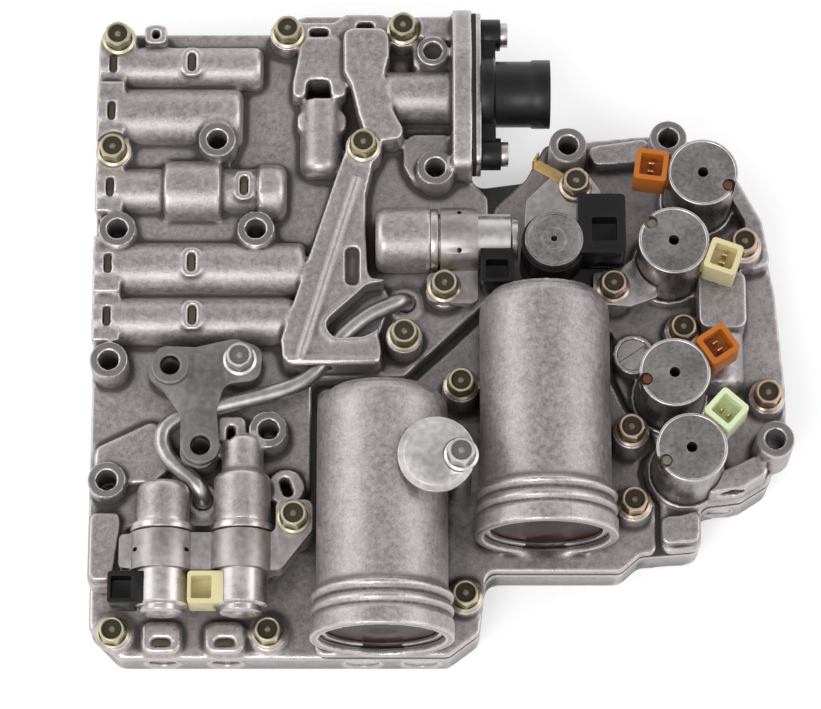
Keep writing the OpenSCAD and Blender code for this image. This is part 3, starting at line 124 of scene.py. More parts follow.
# Cans, in millimetres: radius, top, bore of the bobbin; degrees to the notch and half its width
CAN_R, CAN_TOP, BOBBIN_BORE_R, CAN_NOTCH, NOTCH_HALF = 13.8, 60, 3, 160, 12
# Rolled rim of a can: radius of its round, in millimetres, inset of its middle, points round it
RIM_R, RIM_INSET, RIM_POINTS = 0.75, 0.5, 90

# Harness connector, in millimetres: middle of the flange, its floor, circle and number of pins
HARNESS, HARNESS_FLOOR, PIN_CIRCLE, PIN_COUNT = (17.5, 102, 39.5), 10, 6.5, 8

# Stage: the point that camera and lamps face, in millimetres, and the way to the dim top of the sky
TARGET, SKY_TOP = (-11, -6, 30), (0, 0.31, 0.95)
# Camera: sensor in millimetres, and the photograph's width and focal length in pixels
SENSOR, PICTURE_WIDTH, FOCAL_PIXELS = 36, 821, 3750
# Lamps, in metres: name, place, size
LAMPS = (
    ("key", (-0.35, -0.85, 1.05), 0.6),
    ("left", (-1.1, 0.2, 0.8), 0.9), ("right", (1.1, -0.1, 0.8), 0.9),
)
# Floor: half its width and its drop under the part, in metres, and how brightly it glows
FLOOR_REACH, FLOOR_DROP, FLOOR_GLOW = 8, 0.2 * MM, 0.42


# Surfaces


def store(mesh, name, values):
    """Keeps a value at every point of a mesh, for its finish to read."""
    layer = mesh.attributes.new(name, "FLOAT", "POINT")
    layer.data.foreach_set("value", values.astype(np.float32))


class Shell:
    """Grids of points joined into one closed mesh, with a value named mark at every point."""

    def __init__(self):
        self.points, self.quads, self.marks, self.count = [], [], [], 0

    def grid(self, points, mark=0.0, loop=False):
        """Joins rows of closed rings into quads; with loop the last ring meets the first."""
        rows, columns = points.shape[:2]
        index = self.count + np.arange(rows * columns).reshape(rows, columns)
        index = np.hstack([index, index[:, :1]])
        if loop:
            index = np.vstack([index, index[:1]])
        corners = (index[:-1, :-1], index[:-1, 1:], index[1:, 1:], index[1:, :-1])
        self.quads.append(np.stack(corners, -1).reshape(-1, 4))
        self.points.append(points.reshape(-1, 3))
        mark = np.asarray(mark, float).reshape(-1, 1)
        self.marks.append(np.broadcast_to(mark, (rows, columns)).ravel())
        self.count += rows * columns

    def mesh(self, name, sharp=40):
        """The collected quads as one mesh, its poles merged and its edges shaded by angle."""
        made = bpy.data.meshes.new(name)
        points, quads = np.concatenate(self.points), np.concatenate(self.quads)
        made.from_pydata(points.tolist(), [], quads.tolist())
        store(made, "mark", np.concatenate(self.marks))
        merged(made)
        return shaded(made, sharp)


def merged(mesh, distance=POLE_GAP):
    """Merges points that coincide."""
    work = bmesh.new()
    work.from_mesh(mesh)
    bmesh.ops.remove_doubles(work, verts=work.verts, dist=distance)
    work.to_mesh(mesh)
    work.free()
    return mesh


def shaded(mesh, sharp):
    """Shades a mesh smooth, with the edges sharper than an angle in degrees left hard."""
    mesh.shade_smooth()
    mesh.set_sharp_from_angle(angle=math.radians(sharp))
    return mesh


def eased(profile, radius, steps=3):
    """A line of points whose corners are quadratic curves that start and end radius away."""
    profile = np.asarray(profile, float)
    a, b, c = profile[:-2], profile[1:-1], profile[2:]
    to_a, to_c = np.linalg.norm(a - b, axis=1), np.linalg.norm(c - b, axis=1)
    reach = np.minimum(radius, 0.45 * np.minimum(to_a, to_c))[:, None]
    start = (b + (a - b) / to_a[:, None] * reach)[:, None]
    end = (b + (c - b) / to_c[:, None] * reach)[:, None]
    s = np.linspace(0, 1, steps + 1)[None, :, None]
    bends = (1 - s) ** 2 * start + 2 * s * (1 - s) * b[:, None] + s ** 2 * end
    return np.vstack([profile[:1], bends.reshape(-1, 2), profile[-1:]])


def axis_frame(along):
    """Two unit vectors, square to x, y or z as the axis and to each other, then the axis."""
    along = np.asarray(along, float)
    side = np.array((1.0, 0, 0)) if abs(along[0]) < 0.9 else np.array((0, 1.0, 0))
    return side, np.cross(along, side), along


def turned(profile, at, along=(0, 0, 1), sides=64):
    """Rings of each radius at each height about an axis: at + r (cos a, sin a) + h along."""
    profile = np.asarray(profile, float) * MM
    side, other, along = axis_frame(along)
    angle = np.linspace(0, TURN, sides, endpoint=False)
    ring = np.cos(angle)[:, None] * side + np.sin(angle)[:, None] * other
    place = np.asarray(at, float) * MM
    return place + profile[:, 0, None, None] * ring + profile[:, 1, None, None] * along


def block(at, size, turn=0.0, along=(0, 0, 1), power=8, ease=0.25, sides=32):
    """A bar with superellipse section, |x/w|^n + |y/d|^n = 1, whose two ends are rounded over."""
    side, other, along = axis_frame(along)
    width, depth, length = np.asarray(size, float) * MM
    angle = np.linspace(0, TURN, sides, endpoint=False)
    c, s = np.cos(angle), np.sin(angle)
    reach = (np.abs(c) ** power + np.abs(s) ** power) ** (-1 / power)
    x, y = width / 2 * c * reach, depth / 2 * s * reach
    t = math.radians(turn)
    ring = (x * math.cos(t) - y * math.sin(t))[:, None] * side
    ring = ring + (x * math.sin(t) + y * math.cos(t))[:, None] * other
    ease = ease * MM
    shrink = 1 - 2 * ease / min(width, depth)
    scale = np.array((0, shrink, (1 + shrink) / 2, 1, 1, (1 + shrink) / 2, shrink, 0))
    rise = np.array((0, 0, 0.3 * ease, ease, length - ease, length - 0.3 * ease, length, length))
    place = np.asarray(at, float) * MM
    return place + scale[:, None, None] * ring + rise[:, None, None] * along


def smooth_route(route, steps):
    """Points of the cubic curve that runs through each point of a route."""
    p = np.asarray(route, float)
    a, b = np.vstack([p[:1], p[:-2]]), p[:-1]
    c, d = p[1:], np.vstack([p[2:], p[-1:]])
    t = np.linspace(0, 1, steps, endpoint=False)[None, :, None]
    a, b, c, d = (v[:, None] for v in (a, b, c, d))
    curve = b + (c - a) * t / 2 + (2 * a - 5 * b + 4 * c - d) * t ** 2 / 2
    curve = curve + (3 * b - a - 3 * c + d) * t ** 3 / 2
    return np.vstack([curve.reshape(-1, 3), p[-1:]])


def swept(path, radius, sides=32):
    """A circle carried along a path, its frame turned as little as the path allows."""
    path = np.asarray(path, float) * MM
    along = np.gradient(path, axis=0)
    along /= np.linalg.norm(along, axis=1)[:, None]
    side = np.empty_like(along)
    last = axis_frame(along[0])[0]
    for row, tangent in enumerate(along):
        last = last - tangent * (last @ tangent)
        last = last / np.linalg.norm(last)
        side[row] = last
    other = np.cross(along, side)
    angle = np.linspace(0, TURN, sides, endpoint=False)[None, :, None]
    ring = np.cos(angle) * side[:, None] + np.sin(angle) * other[:, None]
    body = path[:, None] + radius * MM * ring
    first = np.broadcast_to(path[0], (1, sides, 3))
    final = np.broadcast_to(path[-1], (1, sides, 3))
    return np.concatenate([first, body, final])


def hexagon(angle, across):
    """Distance from the middle of a hexagon to its side in each direction."""
    return across / 2 / np.cos((angle + TURN / 12) % (TURN / 6) - TURN / 12)


def flange_bolt(shell, at, seat, tip, across, flange, head, turn):
    """A bolt as rings of radius min(hexagon, cone): shank, flange, chamfered hexagon and dish.
    A row is a radius, or limit for the bare hexagon, a height over the seat, and its grime with
    painted shade in the dish and the corners."""
    limit, low, half = 99.0, tip - seat, across / 2
    rows = np.array((
        (0, low, 0), (SHANK_R - 0.7, low, 0), (SHANK_R, low + 0.8, 0), (SHANK_R, 0, 0.6),
        (flange - 0.5, 0, 0.2), (flange - 0.1, 0.12, 0), (flange, 0.4, 0), (flange - 0.05, 0.9, 0),
        (flange - 0.45, 1.25, 0), (flange - 1.0, 1.5, 0.3), (half + 0.5, 1.75, 0.9),
        (limit, 1.95, 0.9), (limit, 2.6, 0.3), (limit, head - 1.5, 0), (half + 0.5, head - 1.0, 0),
        (half + 0.15, head - 0.5, 0), (half - 0.2, head - 0.12, 0), (half - 0.6, head, 0),
        (half - 1.0, head - 0.1, 0.3), (half - 1.3, head - 0.7, 1.0),
        (half - 1.7, head - 1.05, 1.1), (1.5, head - 1.1, 1.0), (1.2, head - 0.85, 0.75),
        (0.5, head - 0.8, 0.65), (0, head - 0.8, 0.65),
    ))
    angle = np.linspace(0, TURN, BOLT_SIDES, endpoint=False)
    radius = np.minimum(rows[:, :1], hexagon(angle, across))
    radius = np.where(rows[:, 1:2] < HEXAGON_FOOT, rows[:, :1], radius) * MM
    x, y = radius * np.cos(angle + turn), radius * np.sin(angle + turn)
    z = np.broadcast_to(rows[:, 1:2] * MM, x.shape)
    place = np.array((at[0], at[1], seat)) * MM
    shell.grid(place + np.stack([x, y, z], -1), rows[:, 2])


def loose_boxes(node):
    """Lowest and highest corners, in millimetres, of each separate solid of a node."""
    mesh = merged(NODES[node].data.copy(), SEAM_GAP)
    points, edges = points_of(mesh), edges_of(mesh)
    label = np.arange(len(points))
    while True:
        low = np.minimum(label[edges[:, 0]], label[edges[:, 1]])
        fresh = label.copy()
        np.minimum.at(fresh, edges[:, 0], low)
        np.minimum.at(fresh, edges[:, 1], low)
        if np.array_equal(fresh, label):
            break
        label = fresh[fresh]
    bpy.data.meshes.remove(mesh)
    solids = (points[label == name] / MM for name in np.unique(label))
    return [(solid.min(axis=0), solid.max(axis=0)) for solid in solids]


def points_of(mesh):
    """The places of a mesh's points as an array."""
    points = np.empty(len(mesh.vertices) * 3)
    mesh.vertices.foreach_get("co", points)
    return points.reshape(-1, 3)


def edges_of(mesh):
    """The point numbers of a mesh's edges as an array."""
    edges = np.empty(len(mesh.edges) * 2, np.int32)
    mesh.edges.foreach_get("vertices", edges)
    return edges.reshape(-1, 2)


def corners_of(mesh):
    """The point numbers of a mesh's four-sided faces as an array."""
    corners = np.empty(len(mesh.loops), np.int32)
    mesh.loops.foreach_get("vertex_index", corners)
    return corners.reshape(-1, 4)


def gathered(index, values, count):
    """Sums of the rows of values that share an index."""
    return np.stack([np.bincount(index, column, count) for column in values.T], 1)


def neighbour_mean(points, edges, shares):
    """The middle of each point's neighbours."""
    total = gathered(edges[:, 0], points[edges[:, 1]], len(points))
    total += gathered(edges[:, 1], points[edges[:, 0]], len(points))
    return total / shares


def outward(points, corners):
    """Unit normals at the points: the sum of each face's crossed diagonals."""
    face = np.cross(
        points[corners[:, 2]] - points[corners[:, 0]], points[corners[:, 3]] - points[corners[:, 1]]
    )
    total = gathered(corners.ravel(), np.repeat(face, 4, axis=0), len(points))
    return total / np.maximum(np.linalg.norm(total, axis=1), 1e-12)[:, None]


def modified(mesh, kind, **settings):
    """A new mesh from one modifier applied to another, which is removed."""
    holder = bpy.data.objects.new("holder", mesh)
    bpy.context.scene.collection.objects.link(holder)
    step = holder.modifiers.new("step", kind)
    for key, value in settings.items():
        setattr(step, key, value)
    graph = bpy.context.evaluated_depsgraph_get()
    made = bpy.data.meshes.new_from_object(holder.evaluated_get(graph))
    bpy.data.objects.remove(holder)
    bpy.data.meshes.remove(mesh)
    return made


def solid_copy(node):
    """A merged copy of a node's mesh with no normals of its own."""
    mesh = merged(NODES[node].data.copy(), SEAM_GAP)
    if mesh.has_custom_normals:
        mesh.attributes.remove(mesh.attributes["custom_normal"])
    return mesh


def cast_skin(node, grain, rounds, edge_share, triangles):
    """A node's solid with cast fillets: its skin on a grid of cubes, each point then moved to the
    middle of its neighbours, in full where it fills a corner and in part where it wears an edge.
    The value hollow is how far a wider smoothing would lift the skin."""
    mesh = modified(solid_copy(node), "REMESH", mode="VOXEL", voxel_size=grain, adaptivity=0.0)
    points, edges, corners = points_of(mesh), edges_of(mesh), corners_of(mesh)
    shares = np.bincount(edges.ravel(), minlength=len(points))[:, None]
    for turn in range(rounds):
        if turn % 4 == 0:
            normal = outward(points, corners)
        move = neighbour_mean(points, edges, shares) - points
        lift = (move * normal).sum(axis=1, keepdims=True)
        points = points + np.where(lift > 0, SKIN_STEP, SKIN_STEP * edge_share) * move
    normal, wide = outward(points, corners), points
    for _ in range(2 * rounds):
        wide = (1 - SKIN_STEP) * wide + SKIN_STEP * neighbour_mean(wide, edges, shares)
    hollow = np.clip(((wide - points) * normal).sum(axis=1) / HOLLOW_LIFT, -1, 1)
    mesh.vertices.foreach_set("co", points.ravel())
    store(mesh, "hollow", hollow)
    mesh.update()
    share = min(1.0, triangles / (2 * len(corners)))
    if share < 1:
        mesh = modified(mesh, "DECIMATE", ratio=share)
    mesh.shade_smooth()
    return mesh


def mark_shelter(skins, cell, reaches=(3, 6, 10, 15), ways=12):
    """Stores at each point of the skins the share of sky that taller surroundings hide: the mean
    over the ways it faces of 2/pi atan(h / d), with h the rise to the highest point d away."""
    places = [points_of(mesh) for mesh in skins]
    every = np.concatenate(places)
    low = every[:, :2].min(axis=0) - (max(reaches) + 1) * MM
    size = (every[:, :2].max(axis=0) + (max(reaches) + 1) * MM - low) / cell
    tops = np.zeros(np.ceil(size).astype(int))
    column, row = ((every[:, :2] - low) / cell).astype(int).T
    np.maximum.at(tops, (column, row), every[:, 2])
    for mesh, points in zip(skins, places):
        normal = np.empty(len(points) * 3)
        mesh.vertex_normals.foreach_get("vector", normal)
        normal = normal.reshape(-1, 3)
        hidden, weight = np.zeros(len(points)), np.full(len(points), 1e-6)
        for angle in np.arange(ways) * TURN / ways:
            way = np.array((math.cos(angle), math.sin(angle)))
            steep = np.zeros(len(points))
            for reach in reaches:
                column, row = ((points[:, :2] + way * reach * MM - low) / cell).astype(int).T
                steep = np.maximum(steep, (tops[column, row] - points[:, 2]) / (reach * MM))
            share = np.clip(0.5 + normal[:, :2] @ way, 0, 1)
            hidden, weight = hidden + share * np.arctan(steep), weight + share
        store(mesh, "shelter", np.where(normal[:, 2] < -0.3, 0, hidden / weight * 2 / math.pi))


def bevelled(node, width, segments=2):
    """A node's solid with its flat faces joined and its edges rounded over."""
    mesh = solid_copy(node)
    work = bmesh.new()
    work.from_mesh(mesh)
    flat = math.radians(FLAT_ANGLE)
    bmesh.ops.dissolve_limit(work, angle_limit=flat, verts=work.verts, edges=work.edges)
    work.to_mesh(mesh)
    work.free()
    mesh = modified(
        mesh, "BEVEL", width=width * MM, segments=segments, limit_method="ANGLE",
        angle_limit=math.radians(EDGE_ANGLE), use_clamp_overlap=True, miter_outer="MITER_ARC",
    )
    return shaded(mesh, EDGE_ANGLE)


# Finishes


class Value:
    """A shader socket whose operators add the Math nodes that work them out."""

    def __init__(self, graph, socket):
        self.graph, self.socket = graph, socket

    def math(self, operation, *values):
        return self.graph.node("ShaderNodeMath", {"operation": operation}, dict(enumerate(values)))

    def __add__(self, other):
        return self.math("ADD", self, other)

    def __sub__(self, other):
        return self.math("SUBTRACT", self, other)

    def __rsub__(self, other):
        return self.math("SUBTRACT", other, self)

    def __mul__(self, other):
        return self.math("MULTIPLY", self, other)

    __radd__, __rmul__ = __add__, __mul__

    def between(self, low, high):
        """0 below low, 1 above high, and a smooth step between them."""
        sockets = {0: self, 1: low, 2: high}
        return self.graph.node("ShaderNodeMapRange", {"interpolation_type": "SMOOTHSTEP"}, sockets)


class Graph:
    """A node tree that adds its nodes with their settings, values and links."""

    def __init__(self, tree):
        self.tree = tree

    def node(self, kind, settings=None, sockets=None, output=0):
        """Adds a node: its settings first, then the values or links of its sockets."""
        made = self.tree.nodes.new(kind)
        for key, value in (settings or {}).items():
            setattr(made, key, value)
        for key, value in (sockets or {}).items():
            if isinstance(value, Value):
                self.tree.links.new(value.socket, made.inputs[key])
            else:
                made.inputs[key].default_value = value
        return Value(self, made.outputs[output])

    def seen(self, *kinds):
        """1 for the kinds of ray named: from the camera, or sent on by metal or glass."""
        rays = [self.node("ShaderNodeLightPath", output=f"Is {kind} Ray") for kind in kinds]
        return sum(rays[1:], rays[0]).between(0, 1)


class Finish(Graph):
    """A procedural material: its node tree, its shader and the place on the piece."""

    def __init__(self, name, **constants):
        self.material = bpy.data.materials.new(name)
        self.material.use_nodes = True
        super().__init__(self.material.node_tree)
        self.shader = self.tree.nodes["Principled BSDF"]
        for key, value in constants.items():
            self.shader.inputs[self.label(key)].default_value = value
        self.place = self.node("ShaderNodeTexCoord", output="Object")

    @staticmethod
    def label(key):
        """The shader's own name for a socket."""
        return key.replace("_", " ").title().replace("Ior", "IOR")

    def noise(self, scale, detail=2.0, stretch=None):
        """Noise from 0 to 1 with a number of features in a metre, drawn out along the axes."""
        place = self.place
        if stretch:
            place = self.node("ShaderNodeMapping", {}, {"Vector": place, "Scale": stretch})
        sockets = {"Vector": place, "Scale": scale, "Detail": detail}
        return self.node("ShaderNodeTexNoise", {}, sockets)

    def axis(self, number):
        """The x, y or z of the place on the piece, in metres."""
        return self.node("ShaderNodeSeparateXYZ", {}, {"Vector": self.place}, number)

    def mark(self, name):
        """A value stored at the piece's points."""
        return self.node("ShaderNodeAttribute", {"attribute_name": name}, {}, "Fac")

    def blend(self, first, second, share):
        """A mix of two colours."""
        sides = [value if isinstance(value, Value) else (*value, 1) for value in (first, second)]
        sockets = {0: share, 6: sides[0], 7: sides[1]}
        return self.node("ShaderNodeMix", {"data_type": "RGBA"}, sockets, 2)

    def feed(self, **values):
        """Links values to the shader's sockets by name."""
        for key, value in values.items():
            self.tree.links.new(value.socket, self.shader.inputs[self.label(key)])

    def relief(self, height, strength, depth):
        """Bumps the surface by a height from 0 to 1, depth metres deep."""
        sockets = {"Height": height, "Strength": strength, "Distance": depth}
        self.feed(normal=self.node("ShaderNodeBump", {}, sockets))


def cast_aluminium(name, tone, stain_and_shade):
    """Sand-blasted die casting: blotchy grey with fine grain, edges worn bright with a painted
    highlight, dirt with painted shade in the hollows, painted shade where taller parts hide the
    sky, and painted shade darker towards the bottom."""
    skin = Finish(name, ior=1.5)
    blotch, patch = skin.noise(24, 3), skin.noise(150, 3)
    grain, speck = skin.noise(1300, 3), skin.noise(480, 4)
    hollow = skin.mark("hollow")
    # dirt_and_shade: dirt in the hollows, with painted shade in the gaps and creases
    dirt_and_shade = (hollow + (patch - 0.5) * 0.3 + (speck - 0.5) * 0.25).between(0.03, 0.65)
    edge = (0 - hollow).between(0.15, 0.8)
    pale = [min(1.0, 1.3 * c) for c in tone]
    deep = [0.6 * c for c in tone]
    mottle = blotch * 0.18 + patch * 0.17 + speck * 0.35 + grain * 0.3
    colour = skin.blend(deep, pale, mottle.between(0.3, 0.7))
    # painted shade where taller surroundings hide the sky
    shelter_shade = (skin.mark("shelter") + (patch - 0.5) * 0.25).between(0.42, 0.9)
    colour = skin.blend(skin.blend(colour, stain_and_shade, dirt_and_shade * 0.9), stain_and_shade, shelter_shade * 0.85)
    # painted shade, darker towards the bottom of the part
    low_shade = 1 - skin.axis(2).between(-6 * MM, 20 * MM)
    colour = skin.blend(colour, stain_and_shade, low_shade * 0.62)
    # edges lightened: worn bright, with a painted highlight
    colour = skin.blend(colour, [min(1.0, 1.7 * c) for c in tone], edge * 0.5)
    skin.feed(base_color=colour)
    skin.feed(roughness=0.44 + (speck - 0.5) * 0.3 + dirt_and_shade * 0.25 - edge * 0.14)
    skin.feed(metallic=0.8 - dirt_and_shade * 0.6)
    skin.relief(grain * 0.5 + speck * 0.5, 0.5, 0.3 * MM)
    return skin.material


def turned_metal(name, tone, rough, pitch):
    """Turned metal: rings at the tool's pitch about each seat's own middle, with light smears."""
    face = Finish(name, metallic=0.95)
    smear = face.noise(220, 3)
    reach = face.mark("mark") * (TURN / pitch)
    ring = reach.math("SINE", reach)
    face.feed(base_color=face.blend([0.82 * c for c in tone], tone, smear))
    face.feed(roughness=rough + (smear - 0.5) * 0.18)
    face.relief(ring * 0.5 + 0.5, 0.25, 0.05 * MM)
    return face.material


def plated(name, tone, tint, grime_and_shade):
    """Zinc plating: a tone that drifts in clouds to a tint, more so along x, with grime and painted
    shade where mark is high."""
    coat = Finish(name, metallic=0.96)
    cloud, fleck = coat.noise(95, 3), coat.noise(700, 2)
    # grime with painted shade in the dish and corners of the head
    soil = (coat.mark("mark") + (fleck - 0.5) * 0.5).between(0.3, 0.95)
    drift = ((cloud - 0.5) * 0.9 + coat.axis(0) * 6).between(0, 0.55)
    colour = coat.blend(tone, tint, drift)
    coat.feed(base_color=coat.blend(colour, grime_and_shade, soil * 0.95))
    coat.feed(roughness=0.24 + fleck * 0.16 + soil * 0.3)
    coat.feed(metallic=0.96 - soil * 0.4)
    coat.relief(fleck, 0.2, 0.05 * MM)
    return coat.material


def shades(tone, spread):
    """A deeper and a paler shade of a tone."""
    return [(1 - spread) * c for c in tone], [min(1.0, (1 + spread) * c) for c in tone]


def worn_metal(name, tone, rough, stretch=(1, 1, 1), scale=420, spread=0.22, metallic=0.92):
    """Sheet and can metal: fine streaks along one axis over soft patches of wear."""
    sheet = Finish(name, metallic=metallic)
    streak, patch = sheet.noise(scale, 4, stretch), sheet.noise(60, 3)
    mixed = streak * 0.5 + patch * 0.5
    sheet.feed(base_color=sheet.blend(*shades(tone, spread), mixed.between(0.3, 0.7)))
    sheet.feed(roughness=rough + (streak - 0.5) * 0.2 + (patch - 0.5) * 0.14)
    sheet.relief(streak, 0.16, 0.04 * MM)
    return sheet.material


def moulded(name, tone, rough, spread=0.12, coat=0.0):
    """Moulded plastic or rubber: slow drift of tone, a fine spark-eroded grain, rubbed patches, and
    a dark brown stain with painted shade in the bores, where the stored value says."""
    skin = Finish(name, metallic=0.0, specular_ior_level=0.35, coat_roughness=0.25)
    drift, grain = skin.noise(45, 2), skin.noise(1900, 2)
    colour = skin.blend(*shades(tone, spread), drift * 0.7 + grain * 0.3)
    # dark brown stain with painted shade in the bobbin bore and inside the can
    skin.feed(base_color=skin.blend(colour, (0.03, 0.016, 0.012), skin.mark("oil")))
    skin.feed(roughness=rough + (drift - 0.5) * 0.2 + (grain - 0.5) * 0.1)
    skin.shader.inputs["Coat Weight"].default_value = coat
    skin.relief(grain, 0.2, 0.06 * MM)
    return skin.material


def oiled_metal(name, tone, oil):
    """Metal painted near black as the shade in the accumulator mouth, wetted with dark red
    transmission fluid towards its lower edge.
    """
    face = Finish(name, metallic=0.3)
    pool, fleck = face.noise(18, 2), face.noise(500, 3)
    wet = (0.5 - (face.axis(2) - ACC_Z * MM) * 25 + (pool - 0.5) * 0.8).between(0.3, 1.3)
    face.feed(base_color=face.blend(tone, oil, wet * 0.8))
    face.feed(roughness=0.42 - wet * 0.22 + fleck * 0.1)
    face.relief(fleck, 0.12, 0.05 * MM)
    return face.material


FINISHES = {
    "cast_aluminium": lambda n, s: cast_aluminium(n, s.casting.tone, s.casting.stain_and_shade),
    "clamp_aluminium": lambda n, s: worn_metal(n, s.casting.clamp_tone, 0.42, spread=0.2),
    "turned_aluminium": lambda n, s: turned_metal(n, s.casting.turned_tone, 0.34, 0.5 * MM),
    "gold_zinc": lambda n, s: plated(n, s.bolt.gold, s.bolt.rose, s.bolt.grime_and_shade),
    # the dark colour is grime with painted shade in the dish of the steel bolts
    "silver_zinc": lambda n, s: plated(n, s.bolt.silver, s.bolt.silver, (0.12, 0.11, 0.1)),
    "can_steel": lambda n, s: worn_metal(n, (0.3, 0.284, 0.28), 0.3, (1, 1, 0.2), 700, 0.3),
    "bright_steel": lambda n, s: worn_metal(n, (0.52, 0.487, 0.487), 0.29, scale=380, spread=0.18),
    "bracket_steel": lambda n, s: worn_metal(n, (0.24, 0.224, 0.22), 0.44, spread=0.24),
    "disc_steel": lambda n, s: worn_metal(n, (0.68, 0.638, 0.64), 0.36, scale=380, spread=0.2),
    "tube_steel": lambda n, s: worn_metal(n, (0.46, 0.44, 0.43), 0.3, scale=300, spread=0.2),
    "plate_steel": lambda n, s: worn_metal(n, (0.1, 0.1, 0.095), 0.45, (1, 0.1, 1), 300),
    # dark brown tone: painted shade of the slots over the keys' steel
    "key_steel_in_shade": lambda n, s: worn_metal(n, (0.1, 0.085, 0.06), 0.42, metallic=0.7),
    "spring_steel": lambda n, s: worn_metal(n, (0.16, 0.16, 0.17), 0.35),
    # near-black tone and dark red wet: painted shade on the caps in the accumulator mouths
    "oiled_steel": lambda n, s: oiled_metal(n, (0.016, 0.014, 0.014), (0.07, 0.006, 0.004)),
    "brass": lambda n, s: worn_metal(n, (0.66, 0.45, 0.2), 0.3, scale=400, spread=0.2),
    "black_plastic": lambda n, s: moulded(n, (0.006, 0.006, 0.006), 0.34, 0.4),
    "orange_plastic": lambda n, s: moulded(n, s.solenoid.orange, 0.4, 0.2, 0.1),
    "cream_plastic": lambda n, s: moulded(n, s.solenoid.cream, 0.42, 0.1, 0.1),
    "green_plastic": lambda n, s: moulded(n, s.solenoid.green, 0.42, 0.1, 0.1),
    "seal_rubber": lambda n, s: moulded(n, (0.1, 0.02, 0.015), 0.55),
    "gasket_rubber": lambda n, s: moulded(n, (0.012, 0.012, 0.012), 0.6),
}
MADE = {}


def finish(name):
    """The material of a finish, made when it is first asked for."""
    if name not in MADE:
        MADE[name] = FINISHES[name](name, bpy.context.scene.valve_body)
    return MADE[name]


def settle(mesh, name, finish_name, slot, *nodes):
    """Makes a piece that rides on the body in place of some nodes."""
    piece = bpy.data.objects.new(name, mesh)
    bpy.context.scene.collection.objects.link(piece)
    mesh.materials.clear()
    mesh.materials.append(finish(finish_name))
    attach(piece, "body")
    if nodes:
        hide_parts(*nodes)
    return piece


def settle_bevelled(node, finish_name, width):
    """Puts a bevelled copy in a node's place."""
    return settle(bevelled(node, width), node + "_piece", finish_name, SLOTS[node], node)


def dress(node, finish_name):
    """Gives a node that stays its finish."""
    materials = NODES[node].data.materials
    materials.clear()
    materials.append(finish(finish_name))


# Settings


def colour_setting(name, description, default):
    """A colour setting."""
    return FloatVectorProperty(
        name=name, description=description, default=default, subtype="COLOR", min=0, max=1
    )


class CastingSettings(bpy.types.PropertyGroup):
    """The castings' skin and tones"""

    grain: FloatProperty(
        name="Skin grain", description="Cube size of the cast skin", default=0.8 * MM, unit="LENGTH"
    )
    rounds: IntProperty(
        name="Fillet rounds", description="Passes that round the inner corners", default=7, min=1
    )
    edge_share: FloatProperty(
        name="Edge wear", description="How far outer edges round with the inner ones", default=0.16,
        subtype="FACTOR", min=0, max=1,
    )
    triangles: IntProperty(
        name="Skin triangles", description="Most triangles in one skin", default=185000, min=1000
    )
    tone: colour_setting("Cast tone", "Colour of the sand-blasted skin", (0.4, 0.364, 0.366))
    # Colour of the dirt and of the painted shade in the hollows, sheltered places and low down
    stain_and_shade: colour_setting("Stain and shade", "Colour of the dirt in the hollows", (0.022, 0.018, 0.016))
    clamp_tone: colour_setting("Clamp tone", "Colour of the smooth clamps", (0.38, 0.347, 0.348))
    turned_tone: colour_setting("Turned tone", "Colour of the turned seats", (0.33, 0.307, 0.308))


class BoltSettings(bpy.types.PropertyGroup):
    """The flange bolts' head and plating"""

    across: FloatProperty(
        name="Across flats", description="Width of the hexagon", default=10 * MM, unit="LENGTH"
    )
    flange: FloatProperty(
        name="Flange", description="Radius of the flange", default=6.75 * MM, unit="LENGTH"
    )
    head: FloatProperty(
        name="Head height", description="Height of the head with its flange", default=7.5 * MM,
        unit="LENGTH",
    )
    gold: colour_setting("Gold plating", "Main colour of the yellow zinc", (0.52, 0.472, 0.335))
    rose: colour_setting("Rose plating", "Colour the yellow zinc drifts to", (0.54, 0.4, 0.31))
    silver: colour_setting("Silver plating", "Colour of the clear zinc", (0.6, 0.6, 0.58))
    # Colour of the grime and painted shade in the dish of the head
    grime_and_shade: colour_setting("Grime and shade", "Colour in the dish of the head", (0.02, 0.016, 0.008))


class SolenoidSettings(bpy.types.PropertyGroup):
    """The solenoids' edges and connector colours"""

    edge: FloatProperty(
        name="Can edge", description="Rounding of a can's edges", default=0.8 * MM, unit="LENGTH"
    )
    orange: colour_setting("Orange", "Orange connectors", (0.43, 0.125, 0.012))
    cream: colour_setting("Cream", "Cream connectors", (0.62, 0.55, 0.31))
    green: colour_setting("Green", "Pale green connector", (0.6, 0.68, 0.42))


class StageSettings(bpy.types.PropertyGroup):
    """Camera, floor and light"""

    elevation: FloatProperty(
        name="Elevation", description="Camera angle above the floor", default=math.radians(72),
        subtype="ANGLE",
    )
    distance: FloatProperty(
        name="Distance", description="Camera distance", default=1.5, unit="LENGTH"
    )
    lens: FloatProperty(
        name="Lens", description="Focal length", default=SENSOR * FOCAL_PIXELS / PICTURE_WIDTH,
        unit="CAMERA",
    )
    key: FloatProperty(
        name="Key light", description="Strength of the key lamp", default=5.5, unit="POWER"
    )
    fill: FloatProperty(
        name="Fill light", description="Strength of the fill lamps", default=3.0, unit="POWER"
    )
    sky: FloatProperty(
        name="Sky", description="Strength of the light all round", default=1.35, min=0
    )


class ValveBodySettings(bpy.types.PropertyGroup):
    """All the settings"""

    casting: PointerProperty(type=CastingSettings)
    bolt: PointerProperty(type=BoltSettings)
    solenoid: PointerProperty(type=SolenoidSettings)
    stage: PointerProperty(type=StageSettings)


# Operators


